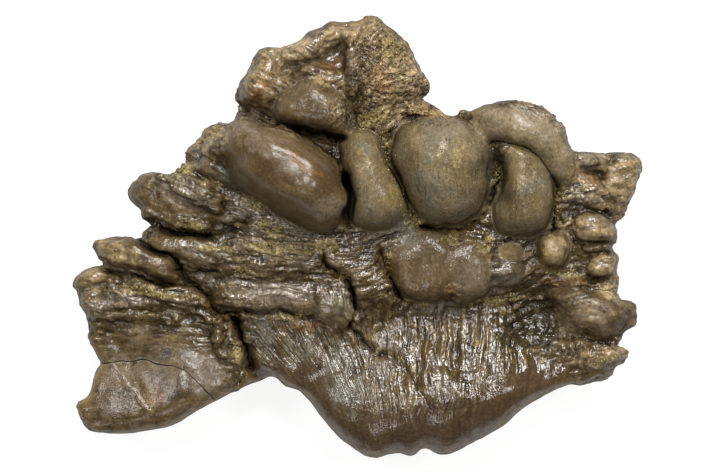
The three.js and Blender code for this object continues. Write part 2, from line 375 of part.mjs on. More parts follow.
// Cracks and crevices in the front
const CRACKS = [
  { name: "main crack, left end", halfWidth: 0.8, depth: 4.5, path: [
      [-74.5, 0.5], [-72, -2], [-69, -3.6], [-66, -4.6], [-63, -5.6], [-60.5, -7.5], [-59, -10],
      [-58, -12.3], [-56.3, -14.3], [-54.8, -16], [-52.5, -17.2], [-51, -19], [-49.5, -20.3],
      [-48.8, -22.2], [-48.2, -24], [-46.8, -25], [-44.5, -26], [-42, -27.3],
    ] },
  { name: "main crack, gap", halfWidth: 1.4, depth: 11, path: [
      [-42, -27], [-40.5, -28.3], [-39, -31], [-38, -34.5], [-37.2, -38.5], [-36.3, -43],
    ] },
  { name: "gap, left side", halfWidth: 1.1, depth: 7, path: [
      [-43.5, -26.3], [-40.5, -27], [-39, -28],
    ] },
  { name: "curved crack", halfWidth: 0.7, depth: 3.2, path: [
      [-11.5, -4.5], [-10.8, -8.5], [-9.8, -10.5], [-7.5, -12.2], [-4.8, -13.8], [-2.8, -15.5],
      [-2.2, -18], [-2.2, -20], [-1.2, -22.5], [-0.8, -24.5], [-1.5, -27.2], [-2.5, -29.2],
      [-1.5, -31], [0.2, -32.5], [1.5, -34.5], [3, -36.2], [5, -38],
    ] },
  { name: "apron crack", halfWidth: 0.6, depth: 1.6, path: [
      [6, -39.5], [9.5, -39.2], [11.5, -40.5], [13, -42.2], [15, -43.5], [16.5, -45], [18, -47.2],
      [19.5, -50.5], [21, -52.5], [23, -55], [24.7, -56.7],
    ] },
  { name: "plate crack", halfWidth: 0.6, depth: 1.4, path: [
      [-87, -41.5], [-83, -41.8], [-80, -41.2], [-76, -41.2], [-72.5, -41.2], [-69, -41.5],
      [-66, -42.2], [-62, -43.2], [-58.5, -45], [-56, -46.5], [-53.5, -48.3], [-51.5, -51],
      [-49.3, -52.7], [-48.2, -54.3],
    ] },
  { name: "plate groove", halfWidth: 1, depth: 1.4, path: [
      [-84.5, -31], [-82, -33.3], [-80, -36], [-78, -39], [-76.5, -41.2], [-75.7, -44],
      [-74.7, -47.2], [-72.8, -50.2], [-70.5, -54.2], [-69, -57],
    ] },
  { name: "crevice right of the left knob", halfWidth: 1.05, depth: 8, path: [
      [-2.8, 21], [-3.2, 17], [-2.6, 13], [-2.8, 8], [-2.6, 4.5],
    ] },
  { name: "crevice beside the big knob", halfWidth: 1, depth: 1.2, path: [
      [10.5, 33], [10.2, 27], [12.8, 20.5], [15.2, 15.5], [17.6, 10.5], [19.5, 5.5],
    ] },
  { name: "crevice under the big knob", halfWidth: 1, depth: 4, path: [
      [21, 4], [28, 2.8], [36, 3.6], [41, 6.8], [44, 12], [45.8, 18], [46.2, 24],
    ] },
  { name: "crevice inside the right knobs", halfWidth: 0.6, depth: 2.5, path: [
      [43.2, 31.6], [47.5, 32.4], [51.5, 31.8], [55.8, 30], [60.2, 26.8], [63.7, 22.4], [66, 17.5],
    ] },
  { name: "crevice right of the right knob", halfWidth: 0.9, depth: 3.5, path: [
      [66.4, 16.5], [66.4, 10], [65.4, 4.5], [64.5, 0.5],
    ] },
  { name: "crevice under the top node", halfWidth: 0.9, depth: 5, path: [
      [-21, 36.3], [-15, 34.6], [-10, 33.6], [-4, 33.2],
    ] },
  { name: "crevice in the second row", halfWidth: 0.9, depth: 6, path: [
      [7.6, -3.6], [9, -7], [10.3, -12], [12, -17], [14.5, -21.5],
    ] },
  { name: "crevice under the upper tongue", halfWidth: 0.9, depth: 3, path: [
      [-64, 3], [-56, 1.6], [-48, 1.2], [-41, 2.2], [-37, 5],
    ] },
  { name: "crevice under the middle tongue", halfWidth: 0.8, depth: 2.5, path: [
      [-85, -12], [-78, -12.3], [-70, -14.3], [-62, -15.3], [-57, -15.5],
    ] },
  { name: "crevice under the second tongue", halfWidth: 0.7, depth: 1.5, path: [
      [-60, -10.5], [-54, -11.3], [-47, -11.3],
    ] },
  { name: "crevice under the long tongue", halfWidth: 0.8, depth: 2, path: [
      [-44, -25], [-34, -25.3], [-24, -25], [-17, -27],
    ] },
  { name: "seam between the second row lumps", halfWidth: 0.6, depth: 0.7, path: [
      [29.5, 1], [30.3, -4], [31.2, -9], [31.8, -14], [31.5, -20],
    ] },
];

// Hollows and pits in the front
const HOLLOWS = [
  { name: "dark hollow", centre: [60, -27.5], radii: [9, 7.5], turn: 25, depth: 2.4 },
  { name: "hollow between the right knobs", centre: [47, 18], radii: [2.4, 6.5], turn: 8, depth: 6 },
  { name: "shelf pit", centre: [79.5, 21], radii: [3.2, 1.8], turn: -15, depth: 3 },
  { name: "apron pit", centre: [8.3, -39.3], radii: [1.7, 1.2], turn: 0, depth: 3 },
  { name: "block scoop", centre: [-9, 62], radii: [5.5, 5], turn: 30, depth: 3 },
  { name: "block dent", centre: [-20, 56.5], radii: [6, 2.2], turn: 15, depth: 1.5 },
  { name: "notch of the upper tongue", centre: [-67.3, 15.5], radii: [1.2, 3], turn: 20, depth: 2.5 },
  { name: "dark end of the arch", centre: [-33, -45], radii: [5, 2], turn: 0, depth: 4 },
  { name: "broken face of the top node", centre: [-3.2, 40.5], radii: [4.2, 4.4], turn: 0, depth: 4 },
];

// An even row of points on the smooth closed curve through hand-set ones
function sampled(points, step) {
  const vectors = points.map(([x, y]) => new THREE.Vector3(x, y, 0));
  const curve = new THREE.CatmullRomCurve3(vectors, true, "catmullrom", 0.5);
  const count = Math.ceil(curve.getLength() / step);
  return curve.getSpacedPoints(count).slice(0, count);
}

// Distance from a point to a stretch, and how far along it the nearest place is
function toStretch(x, y, ax, ay, bx, by) {
  const ex = bx - ax;
  const ey = by - ay;
  const along = ((x - ax) * ex + (y - ay) * ey) / (ex * ex + ey * ey);
  const t = Math.min(1, Math.max(0, along));
  return { distance: Math.hypot(x - ax - t * ex, y - ay - t * ey), t };
}

// Depth inside a closed loop, negative outside it
function depthInside(x, y, loop) {
  let nearest = Infinity;
  let inside = false;
  let a = loop[loop.length - 1];
  for (const b of loop) {
    nearest = Math.min(nearest, toStretch(x, y, a.x, a.y, b.x, b.y).distance);
    if ((a.y > y) !== (b.y > y) && x < ((b.x - a.x) * (y - a.y)) / (b.y - a.y) + a.x) {
      inside = !inside;
    }
    a = b;
  }
  return inside ? nearest : -nearest;
}

// Weighted mean of the heights stated at a few places
function between(places, x, y, reach) {
  const width = places[0].length - 2;
  const sums = new Array(width).fill(0);
  let total = 0;
  for (const place of places) {
    const squared = (x - place[0]) ** 2 + (y - place[1]) ** 2;
    const weight = Math.exp(-squared / (2 * reach * reach)) + 1e-9 / (1 + squared);
    total += weight;
    for (let i = 0; i < width; i += 1) {
      sums[i] += weight * place[i + 2];
    }
  }
  return sums.map((sum) => sum / total);
}

function softMin(a, b, blend) {
  const h = Math.min(1, Math.max(0, 0.5 + (0.5 * (b - a)) / blend));
  return b + (a - b) * h - blend * h * (1 - h);
}

function softStep(from, to, value) {
  return THREE.MathUtils.smoothstep(value, from, to);
}

// A lump is a squarish dome over its own outline, as a radius for each direction
const DIRECTIONS = 72;

function preparedLump(lump) {
  const loop = sampled(lump.outline, OUTLINE_STEP);
  const x = loop.reduce((sum, p) => sum + p.x, 0) / loop.length;
  const y = loop.reduce((sum, p) => sum + p.y, 0) / loop.length;
  const radii = new Array(DIRECTIONS + 1).fill(0);
  for (let i = 0; i <= DIRECTIONS; i += 1) {
    const angle = (i / DIRECTIONS) * 2 * Math.PI;
    const ux = Math.cos(angle);
    const uy = Math.sin(angle);
    let a = loop[loop.length - 1];
    for (const b of loop) {
      const sideA = (a.y - y) * ux - (a.x - x) * uy;
      const sideB = (b.y - y) * ux - (b.x - x) * uy;
      if (sideA > 0 !== sideB > 0) {
        const t = sideA / (sideA - sideB);
        const out = (a.x + t * (b.x - a.x) - x) * ux + (a.y + t * (b.y - a.y) - y) * uy;
        radii[i] = Math.max(radii[i], out);
      }
      a = b;
    }
  }
  return { ...lump, x, y, radii, widest: Math.max(...radii) };
}

function lumpField(lump, x, y, z) {
  const dx = x - lump.x;
  const dy = y - lump.y;
  const turn = (Math.atan2(dy, dx) / (2 * Math.PI) + 1) * DIRECTIONS;
  const step = Math.floor(turn);
  const low = lump.radii[step % DIRECTIONS];
  const high = lump.radii[(step % DIRECTIONS) + 1];
  const radius = low + (high - low) * (turn - step);
  const crown = lump.top + lump.slope[0] * dx + lump.slope[1] * dy;
  const across = (Math.hypot(dx, dy) / radius) ** lump.squareness;
  const upward = Math.abs((z - crown + lump.body) / lump.body) ** lump.squareness;
  const size = Math.min(lump.widest, lump.body);
  return ((across + upward) ** (1 / lump.squareness) - 1) * size;
}

// A ridge has a round crest whose size changes along it, over walls that run down into the bone
function ridgeNear(ridge, x, y) {
  const parts = [];
  for (let i = 1; i < ridge.path.length; i += 1) {
    const [ax, ay, aTop, aRadius] = ridge.path[i - 1];
    const [bx, by, bTop, bRadius] = ridge.path[i];
    const { distance, t } = toStretch(x, y, ax, ay, bx, by);
    const radius = aRadius + t * (bRadius - aRadius);
    const centre = aTop + t * (bTop - aTop) - radius;
    if (distance < radius + EDGE_MARGIN) {
      parts.push({ distance, radius, centre, blend: ridge.blend });
    }
  }
  return parts;
}

function ridgeField(part, z) {
  return Math.hypot(part.distance, Math.max(z - part.centre, 0)) - part.radius;
}

// How far the front is sunk at a place by cracks, crevices and hollows
function sunk(x, y) {
  let depth = 0;
  for (const crack of CRACKS) {
    let nearest = Infinity;
    for (let i = 1; i < crack.path.length; i += 1) {
      const [ax, ay] = crack.path[i - 1];
      const [bx, by] = crack.path[i];
      nearest = Math.min(nearest, toStretch(x, y, ax, ay, bx, by).distance);
    }
    const halfWidth = Math.max(crack.halfWidth, NARROWEST_CRACK);
    const deepest = Math.min(crack.depth, CRACK_STEEPNESS * halfWidth);
    depth = Math.max(depth, deepest * Math.exp(-((nearest / halfWidth) ** 2)));
  }
  for (const hollow of HOLLOWS) {
    const turn = THREE.MathUtils.degToRad(hollow.turn);
    const dx = x - hollow.centre[0];
    const dy = y - hollow.centre[1];
    const u = (dx * Math.cos(turn) + dy * Math.sin(turn)) / hollow.radii[0];
    const v = (dy * Math.cos(turn) - dx * Math.sin(turn)) / hollow.radii[1];
    depth = Math.max(depth, hollow.depth * Math.exp(-(u * u + v * v)));
  }
  return depth;
}

const outline = sampled(OUTLINE, OUTLINE_STEP);
const lumps = LUMPS.map(preparedLump);
const noise = new ImprovedNoise();

// The fossil as a field that is negative inside it, sampled up one column of places
function column(x, y, heights) {
  const depth = depthInside(x, y, outline);
  const [top, edgeRoll] = between(FRONT, x, y, FRONT_REACH);
  const [back] = between(BACK, x, y, BACK_REACH);
  const middle = (top + back) / 2;
  const half = (top - back) / 2;
  const groove = depth > -EDGE_MARGIN ? sunk(x, y) : 0;
  const nearLumps = lumps.filter((l) => Math.hypot(x - l.x, y - l.y) < l.widest + EDGE_MARGIN);
  const nearRidges = RIDGES.flatMap((ridge) => ridgeNear(ridge, x, y));
  return heights.map((z) => {
    const roll = z > middle ? Math.min(edgeRoll, half) : half * BACK_ROLL;
    const outX = roll - depth;
    const outZ = Math.abs(z - middle) - (half - roll);
    const corner = Math.hypot(Math.max(outX, 0), Math.max(outZ, 0));
    let value = corner + Math.min(Math.max(outX, outZ), 0) - roll;
    const front = softStep(middle - GROOVES_START_BELOW, middle + GROOVES_FULL_ABOVE, z);
    const rough = front > 0.5 ? ROUGH_FRONT : ROUGH_BACK;
    value += rough.height * noise.noise(x / rough.size, y / rough.size, z / rough.size);
    for (const lump of nearLumps) {
      value = softMin(value, lumpField(lump, x, y, z), lump.blend);
    }
    for (const part of z > middle ? nearRidges : []) {
      value = softMin(value, ridgeField(part, z), part.blend);
    }
    return value + groove * front;
  });
}

function range(from, to, step) {
  const count = Math.ceil((to - from) / step);
  return Array.from({ length: count + 1 }, (_, i) => from + i * step);
}

// Each cube of samples is six tetrahedra round its diagonal, which always gives a closed surface
const TETRAHEDRA = [
  [0, 1, 3, 7], [0, 3, 2, 7], [0, 2, 6, 7], [0, 6, 4, 7], [0, 4, 5, 7], [0, 5, 1, 7],
];

function surfaceOf(xs, ys, zs) {
  const rows = xs.map((x) => ys.map((y) => column(x, y, zs)));
  const [nx, ny, nz] = [xs.length, ys.length, zs.length];
  const index = (i, j, k) => (i * ny + j) * nz + k;
  const vertices = [];
  const triangles = [];
  const made = new Map();
  const valueAt = (id) => rows[Math.floor(id / (ny * nz))][Math.floor(id / nz) % ny][id % nz];
  const placeOf = (id) => [
    xs[Math.floor(id / (ny * nz))], ys[Math.floor(id / nz) % ny], zs[id % nz],
  ];
  const crossing = (a, b) => {
    const key = a < b ? a * nx * ny * nz + b : b * nx * ny * nz + a;
    if (!made.has(key)) {
      const crossed = valueAt(a) / (valueAt(a) - valueAt(b));
      const t = THREE.MathUtils.clamp(crossed, CROSSING_MARGIN, 1 - CROSSING_MARGIN);
      const [from, to] = [placeOf(a), placeOf(b)];
      vertices.push(from.map((value, axis) => value + t * (to[axis] - value)));
      made.set(key, vertices.length - 1);
    }
    return made.get(key);
  };
  for (let i = 0; i < nx - 1; i += 1) {
    for (let j = 0; j < ny - 1; j += 1) {
      for (let k = 0; k < nz - 1; k += 1) {
        const corners = [];
        for (let c = 0; c < 8; c += 1) {
          corners.push(index(i + (c & 1), j + ((c >> 1) & 1), k + (c >> 2)));
        }
        const signs = corners.map((id) => valueAt(id) < 0);
        if (signs.every((s) => s) || signs.every((s) => !s)) {
          continue;
        }
        for (const tetrahedron of TETRAHEDRA) {
          const inner = tetrahedron.filter((c) => signs[c]).map((c) => corners[c]);
          const outer = tetrahedron.filter((c) => !signs[c]).map((c) => corners[c]);
          if (inner.length === 1) {
            addFace(outer.map((o) => crossing(inner[0], o)), inner, outer);
          } else if (inner.length === 3) {
            addFace(inner.map((n) => crossing(n, outer[0])), inner, outer);
          } else if (inner.length === 2) {
            const a = crossing(inner[0], outer[0]);
            const b = crossing(inner[0], outer[1]);
            const c = crossing(inner[1], outer[1]);
            const d = crossing(inner[1], outer[0]);
            addFace([a, b, c], inner, outer);
            addFace([a, c, d], inner, outer);
          }
        }
      }
    }
  }
  function mean(ids) {
    const sum = new THREE.Vector3();
    ids.forEach((id) => sum.add(new THREE.Vector3(...placeOf(id))));
    return sum.divideScalar(ids.length);
  }
  function addFace(face, inner, outer) {
    const [a, b, c] = face.map((v) => new THREE.Vector3(...vertices[v]));
    const normal = b.sub(a).cross(c.sub(a));
    const outward = mean(outer).sub(mean(inner));
    triangles.push(normal.dot(outward) > 0 ? face : [face[0], face[2], face[1]]);
  }
  return { vertices, triangles };
}

// The sum of squared distances to a set of planes, as the ten numbers of its matrix
function planeSum(a, b, c) {
  const edge = new THREE.Vector3(...b).sub(new THREE.Vector3(...a));
  const other = new THREE.Vector3(...c).sub(new THREE.Vector3(...a));
  const normal = edge.cross(other);
  const area = normal.length() / 2;
  normal.normalize();
  const { x, y, z } = normal;
  const w = -(x * a[0] + y * a[1] + z * a[2]);
  return [x * x, x * y, x * z, x * w, y * y, y * z, y * w, z * z, z * w, w * w].map((v) => v * area);
}

function sumAt(q, [x, y, z]) {
  return q[0] * x * x + 2 * q[1] * x * y + 2 * q[2] * x * z + 2 * q[3] * x
    + q[4] * y * y + 2 * q[5] * y * z + 2 * q[6] * y + q[7] * z * z + 2 * q[8] * z + q[9];
}

// The place where the two ends of an edge are best merged
function mergePlace(q, a, b) {
  const middle = a.map((value, i) => (value + b[i]) / 2);
  const matrix = new THREE.Matrix3().set(q[0], q[1], q[2], q[1], q[4], q[5], q[2], q[5], q[7]);
  const size = (q[0] + q[4] + q[7]) / 3;
  if (Math.abs(matrix.determinant()) > FLATTEST_CORNER * size ** 3) {
    const best = new THREE.Vector3(-q[3], -q[6], -q[8]).applyMatrix3(matrix.invert());
    if (best.distanceTo(new THREE.Vector3(...middle)) < 2 * CELL) {
      return best.toArray();
    }
  }
  return [middle, a, b].sort((p, r) => sumAt(q, p) - sumAt(q, r))[0];
}

function faceNormal(a, b, c) {
  const [ux, uy, uz] = [b[0] - a[0], b[1] - a[1], b[2] - a[2]];
  const [vx, vy, vz] = [c[0] - a[0], c[1] - a[1], c[2] - a[2]];
  return new THREE.Vector3(uy * vz - uz * vy, uz * vx - ux * vz, ux * vy - uy * vx);
}

// Merges the ends of the edges that matter least until few enough triangles are left
function simplified({ vertices, triangles }, target) {
  const places = vertices.map((v) => [...v]);
  const sums = places.map(() => new Array(10).fill(0));
  for (const [a, b, c] of triangles) {
    const plane = planeSum(places[a], places[b], places[c]);
    for (const v of [a, b, c]) {
      plane.forEach((value, i) => { sums[v][i] += value; });
    }
  }
  let faces = triangles.map((t) => [...t]);
  while (faces.length > target) {
    const around = places.map(() => []);
    faces.forEach((face, f) => face.forEach((v) => around[v].push(f)));
    const edges = [];
    for (const face of faces) {
      for (let i = 0; i < 3; i += 1) {
        const [a, b] = [face[i], face[(i + 1) % 3]];
        if (a < b) {
          const sum = sums[a].map((value, n) => value + sums[b][n]);
          const place = mergePlace(sum, places[a], places[b]);
          const length = new THREE.Vector3(...places[a]).distanceTo(new THREE.Vector3(...places[b]));
          edges.push({ a, b, sum, place, cost: sumAt(sum, place) + LENGTH_PRICE * length });
        }
      }
    }
    edges.sort((p, q) => p.cost - q.cost);
    const touched = new Uint8Array(places.length);
    const quota = Math.max(1, Math.ceil(Math.min(faces.length - target, faces.length / 5) / 2));
    let merged = 0;
    for (const { a, b, sum, place } of edges) {
      if (merged >= quota) {
        break;
      }
      const ring = new Set();
      around[a].concat(around[b]).forEach((f) => faces[f].forEach((v) => ring.add(v)));
      if ([...ring].some((v) => touched[v])) {
        continue;
      }
      const neighboursOf = (v) => new Set(around[v].flatMap((f) => faces[f]));
      const nextToB = neighboursOf(b);
      const shared = [...neighboursOf(a)].filter((v) => nextToB.has(v) && v !== a && v !== b);
      const hasBoth = (f) => faces[f].includes(a) && faces[f].includes(b);
      const kept = around[a].concat(around[b]).filter((f) => !hasBoth(f));
      const turns = kept.some((f) => {
        const before = faces[f].map((v) => places[v]);
        const after = faces[f].map((v) => (v === a || v === b ? place : places[v]));
        const [was, is] = [faceNormal(...before), faceNormal(...after)];
        const agreement = was.dot(is) / (was.length() * is.length());
        return !(agreement >= LEAST_AGREEMENT) || is.length() < LEAST_DOUBLED_AREA;
      });
      if (shared.length !== 2 || turns) {
        continue;
      }
      around[b].forEach((f) => { faces[f] = faces[f].map((v) => (v === b ? a : v)); });
      places[a] = place;
      sums[a] = sum;
      ring.forEach((v) => { touched[v] = 1; });
      merged += 1;
    }
    faces = faces.filter(([a, b, c]) => a !== b && b !== c && c !== a);
    if (merged === 0) {
      break;
    }
  }
  return { vertices: places, triangles: faces };
}

// Leaves out the specks and sealed bubbles that the sampling makes beside the main surface
function largestPiece({ vertices, triangles }) {
  const parent = vertices.map((_, v) => v);
  const root = (v) => {
    let top = v;
    while (parent[top] !== top) {
      parent[top] = parent[parent[top]];
      top = parent[top];
    }
    return top;
  };
  for (const [a, b, c] of triangles) {
    parent[root(b)] = root(a);
    parent[root(c)] = root(a);
  }
  const sizes = new Map();
  triangles.forEach(([a]) => sizes.set(root(a), (sizes.get(root(a)) ?? 0) + 1));
  const largest = [...sizes.entries()].sort((p, q) => q[1] - p[1])[0][0];
  return { vertices, triangles: triangles.filter(([a]) => root(a) === largest) };
}

function toSolid(wasm, { vertices, triangles }) {
  const used = new Map();
  const vertProperties = [];
  const triVerts = [];
  for (const v of triangles.flat()) {
    if (!used.has(v)) {
      used.set(v, used.size);
      vertProperties.push(...vertices[v]);
    }
    triVerts.push(used.get(v));
  }
  return new wasm.Manifold(new wasm.Mesh({
    numProp: 3,
    vertProperties: new Float32Array(vertProperties),
    triVerts: new Uint32Array(triVerts),
  }));
}

// Everything under the resting height, which the flat spot is cut by
function belowRest() {
  const box = new THREE.BoxGeometry(2 * LONGEST, 2 * LONGEST, FLAT_CUT_DEPTH);
  box.translate(0, 0, -FLAT_CUT_DEPTH / 2);
  box.deleteAttribute("normal");
  box.deleteAttribute("uv");
  return mergeVertices(box);
}

const xs = range(-LONGEST / 2 - EDGE_MARGIN, LONGEST / 2 + EDGE_MARGIN, CELL);
const ys = range(-WIDEST / 2, WIDEST / 2, CELL);
const zs = range(LOWEST, HIGHEST, CELL);
const fine = largestPiece(surfaceOf(xs, ys, zs));
const coarse = simplified(fine, SURFACE_TRIANGLES);

const wasm = await Module();
wasm.setup();
const rough = toSolid(wasm, coarse);
const cutter = belowRest();
const cutSolid = new wasm.Manifold(new wasm.Mesh({
  numProp: 3,
  vertProperties: new Float32Array(cutter.attributes.position.array),
  triVerts: new Uint32Array(cutter.index.array),
}));
const cut = rough.subtract(cutSolid).getMesh();

const geometry = new THREE.BufferGeometry();
geometry.setAttribute("position", new THREE.BufferAttribute(new Float32Array(cut.vertProperties), 3));
geometry.setIndex(new THREE.BufferAttribute(new Uint32Array(cut.triVerts), 1));
geometry.computeBoundingBox();
const middle = geometry.boundingBox.getCenter(new THREE.Vector3());
geometry.translate(-middle.x, -middle.y, 0);

const bone = new THREE.MeshStandardMaterial({ color: 0x6a5a49, roughness: 0.45, metalness: 0 });
const skullSection = new THREE.Mesh(geometry, bone);
skullSection.name = "skull_section";

const fossil = new THREE.Group();
fossil.add(skullSection);
export default fossil;
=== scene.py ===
import math

import bpy
import numpy as np
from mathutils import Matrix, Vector


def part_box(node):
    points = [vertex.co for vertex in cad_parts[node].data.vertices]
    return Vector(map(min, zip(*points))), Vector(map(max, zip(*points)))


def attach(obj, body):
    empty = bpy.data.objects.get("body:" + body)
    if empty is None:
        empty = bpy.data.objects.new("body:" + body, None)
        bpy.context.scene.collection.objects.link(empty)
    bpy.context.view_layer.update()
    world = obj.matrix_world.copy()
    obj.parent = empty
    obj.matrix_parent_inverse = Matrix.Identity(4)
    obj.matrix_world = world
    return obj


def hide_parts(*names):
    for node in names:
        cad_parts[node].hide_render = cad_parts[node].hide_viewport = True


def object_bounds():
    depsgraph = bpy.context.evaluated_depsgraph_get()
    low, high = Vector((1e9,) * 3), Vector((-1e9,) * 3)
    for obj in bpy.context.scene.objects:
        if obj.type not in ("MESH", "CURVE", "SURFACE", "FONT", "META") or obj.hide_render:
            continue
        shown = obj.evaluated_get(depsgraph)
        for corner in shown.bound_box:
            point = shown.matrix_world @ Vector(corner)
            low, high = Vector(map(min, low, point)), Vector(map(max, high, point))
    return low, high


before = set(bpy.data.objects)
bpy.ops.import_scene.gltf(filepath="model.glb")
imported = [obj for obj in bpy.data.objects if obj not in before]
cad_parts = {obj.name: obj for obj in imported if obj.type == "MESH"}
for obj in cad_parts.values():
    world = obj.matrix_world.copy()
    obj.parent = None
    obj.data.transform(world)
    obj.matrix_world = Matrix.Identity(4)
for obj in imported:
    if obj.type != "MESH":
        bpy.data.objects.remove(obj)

cad_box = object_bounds()

# Skull section: the form.
# One lump of dark fossil bone from the back edge of a dome-headed dinosaur's skull. It grew and
# broke as one piece, so it is carved as one: a field that is negative inside the bone is built
# from named knobs, tongues and cracks, in millimetres, and a skin is drawn where it is zero.

SAMPLE = 0.68
LOOP_STEP = 1.2
FRONT_REACH = 6.5
BACK_REACH = 9
BACK_ROLL = 0.85
MARGIN = 4
BARELY_INSIDE = -0.05 * SAMPLE
FILL_ROUNDS = 12
LABEL_ROUNDS = 400

# How real bone strays off smooth lines: size of the waves, how far, seeds for x, y and z
STRAYING = ((9, 1.3, (41, 42, 43)), (3.4, 0.4, (44, 45, 46)))
UPWARD_STRAYING = 0.8

# Cracks waver in width between two shares of their own, and come in from below to above the middle
CRACK_WAVER = 0.75
NARROWEST_CRACK, WIDEST_CRACK = 0.45, 1.7
CRACK_FOOT, CRACK_MOUTH = -4, 6

# The outline seen from the front, counterclockwise from the left side of the top block
OUTLINE = (
    (-39.7, 48), (-39, 50.7), (-37.7, 52.3), (-36, 54.1), (-35.7, 56.5), (-34.3, 58.7), (-32.3, 61),
    (-30, 61.8), (-26, 62.7), (-23.7, 63.1), (-21.3, 64.7), (-19, 66), (-17, 67.7), (-14.3, 68.5),
    (-12, 68.5), (-10.7, 70.5), (-9.2, 71.5), (-8, 71.3), (-6.3, 70.5), (-4.3, 70.8), (-2.1, 70.8),
    (-0.8, 70.2), (0.8, 71), (2.7, 72.7), (4.5, 73.5), (6, 72.7), (7.3, 72.8), (8, 71.4), (9, 69.8),
    (11.3, 69.3), (12.7, 67.4), (14.2, 65.1), (16, 64.9), (17.3, 63), (17.7, 59.7), (19.5, 58.3),
    (20.5, 55.8), (22.3, 53.9), (24, 51.1), (24, 49), (21.9, 47.1), (20, 46.9), (21.2, 46),
    (24, 43.9), (27.2, 42.7), (29.3, 40.9), (31, 39.7), (32, 39.5), (33.8, 40.9), (34.7, 41.3),
    (37, 40.7), (38.7, 41.2), (43.5, 42.7), (45.3, 43.8), (47.7, 44.1), (54.3, 42.8), (61, 41.7),
    (63.7, 40.7), (66, 39), (68, 36.7), (69.3, 34), (70, 31.2), (70.6, 28.1), (72.7, 28.1),
    (75.3, 27.3), (82.3, 27), (84.3, 27.7), (91, 27.7), (93, 26.4), (94.7, 25.7), (95.2, 23.7),
    (94.9, 21.2), (93.5, 18.1), (91, 12.7), (90, 11.3), (89.7, 9.5), (88.5, 7.7), (86.6, 6),
    (86, 4.3), (86.6, 1.3), (86.3, -0.7), (84.8, -2.9), (85.2, -5.7), (86.2, -6), (87.2, -6.7),
    (87.2, -8), (86.3, -10.3), (86.2, -11.5), (86.8, -12.7), (87, -14.7), (86, -16.9),
    (85.3, -18.3), (85.6, -20.3), (87, -21.3), (88.2, -22.7), (91, -23.5), (91.8, -24.9), (91, -29),
    (90.2, -30.9), (87.3, -32.5), (87.8, -34), (86.2, -36), (87, -38), (88.8, -38.9), (88.6, -39.9),
    (85.6, -43), (85, -45), (83.8, -46.9), (81.8, -48), (79, -47.7), (74.3, -49.3), (71, -49),
    (68.2, -49.8), (62.2, -52.7), (54.2, -58.3), (48.3, -63.1), (42.3, -67), (36.3, -70),
    (29.7, -72.7), (27, -72.7), (25.2, -71.8), (23.3, -70.7), (21.3, -70.5), (19.8, -72.3),
    (17.3, -73.2), (15, -72.6), (13.5, -72.3), (11.3, -72.7), (9.3, -72.7), (7, -73.7),
    (3.9, -73.2), (0.7, -71.8), (-5.7, -67.3), (-12.9, -59.2), (-18.3, -52), (-20.7, -50.5),
    (-24, -49.9), (-25.8, -48.3), (-27.9, -47), (-29.7, -46.8), (-32.7, -48.3), (-38.5, -50),
    (-49.3, -55.9), (-57.2, -60.5), (-62.8, -63), (-77.3, -65.7), (-87, -65.2), (-90.3, -64.3),
    (-92, -62.3), (-93.3, -59.8), (-94, -57), (-93.7, -55), (-90.8, -54.2), (-89.2, -51.9),
    (-89, -49), (-87.5, -44), (-86.3, -41.9), (-87.3, -39.3), (-89, -36), (-90.6, -33.3),
    (-90.1, -32.5), (-88.7, -31.6), (-89.7, -30.3), (-90.1, -24.8), (-92, -23.3), (-92.4, -21.5),
    (-92.3, -18.7), (-94.5, -17.6), (-95, -16), (-94.3, -13.8), (-90.3, -11), (-88.5, -10.2),
    (-83.8, -9.9), (-84.7, -8.2), (-85.9, -4.7), (-87.5, -2.7), (-86.8, -1.8), (-84.3, -1.3),
    (-73.5, -0.5), (-71.2, 1.1), (-67.8, 3.1), (-68.9, 4.7), (-71.1, 6.3), (-71.1, 7), (-72, 9.1),
    (-73.7, 11.3), (-75.6, 13.1), (-76, 14.7), (-75.1, 16.2), (-73.8, 18), (-71.8, 19.8),
    (-70.4, 20.3), (-63, 19.8), (-61.1, 19.3), (-61.3, 21.8), (-59.3, 22.7), (-58.4, 24),
    (-56.7, 25.1), (-57.3, 26.4), (-56.7, 28.3), (-53.8, 31), (-52.3, 33.1), (-50.4, 36),
    (-49.1, 37), (-46.4, 36.8), (-43.8, 35), (-41.1, 36.3), (-39.1, 38.3), (-39.9, 41.1),
    (-39.8, 43.2), (-38.8, 43.3), (-36.7, 41.5), (-35.7, 42.2), (-35.8, 43.2), (-39.1, 46.2),
)

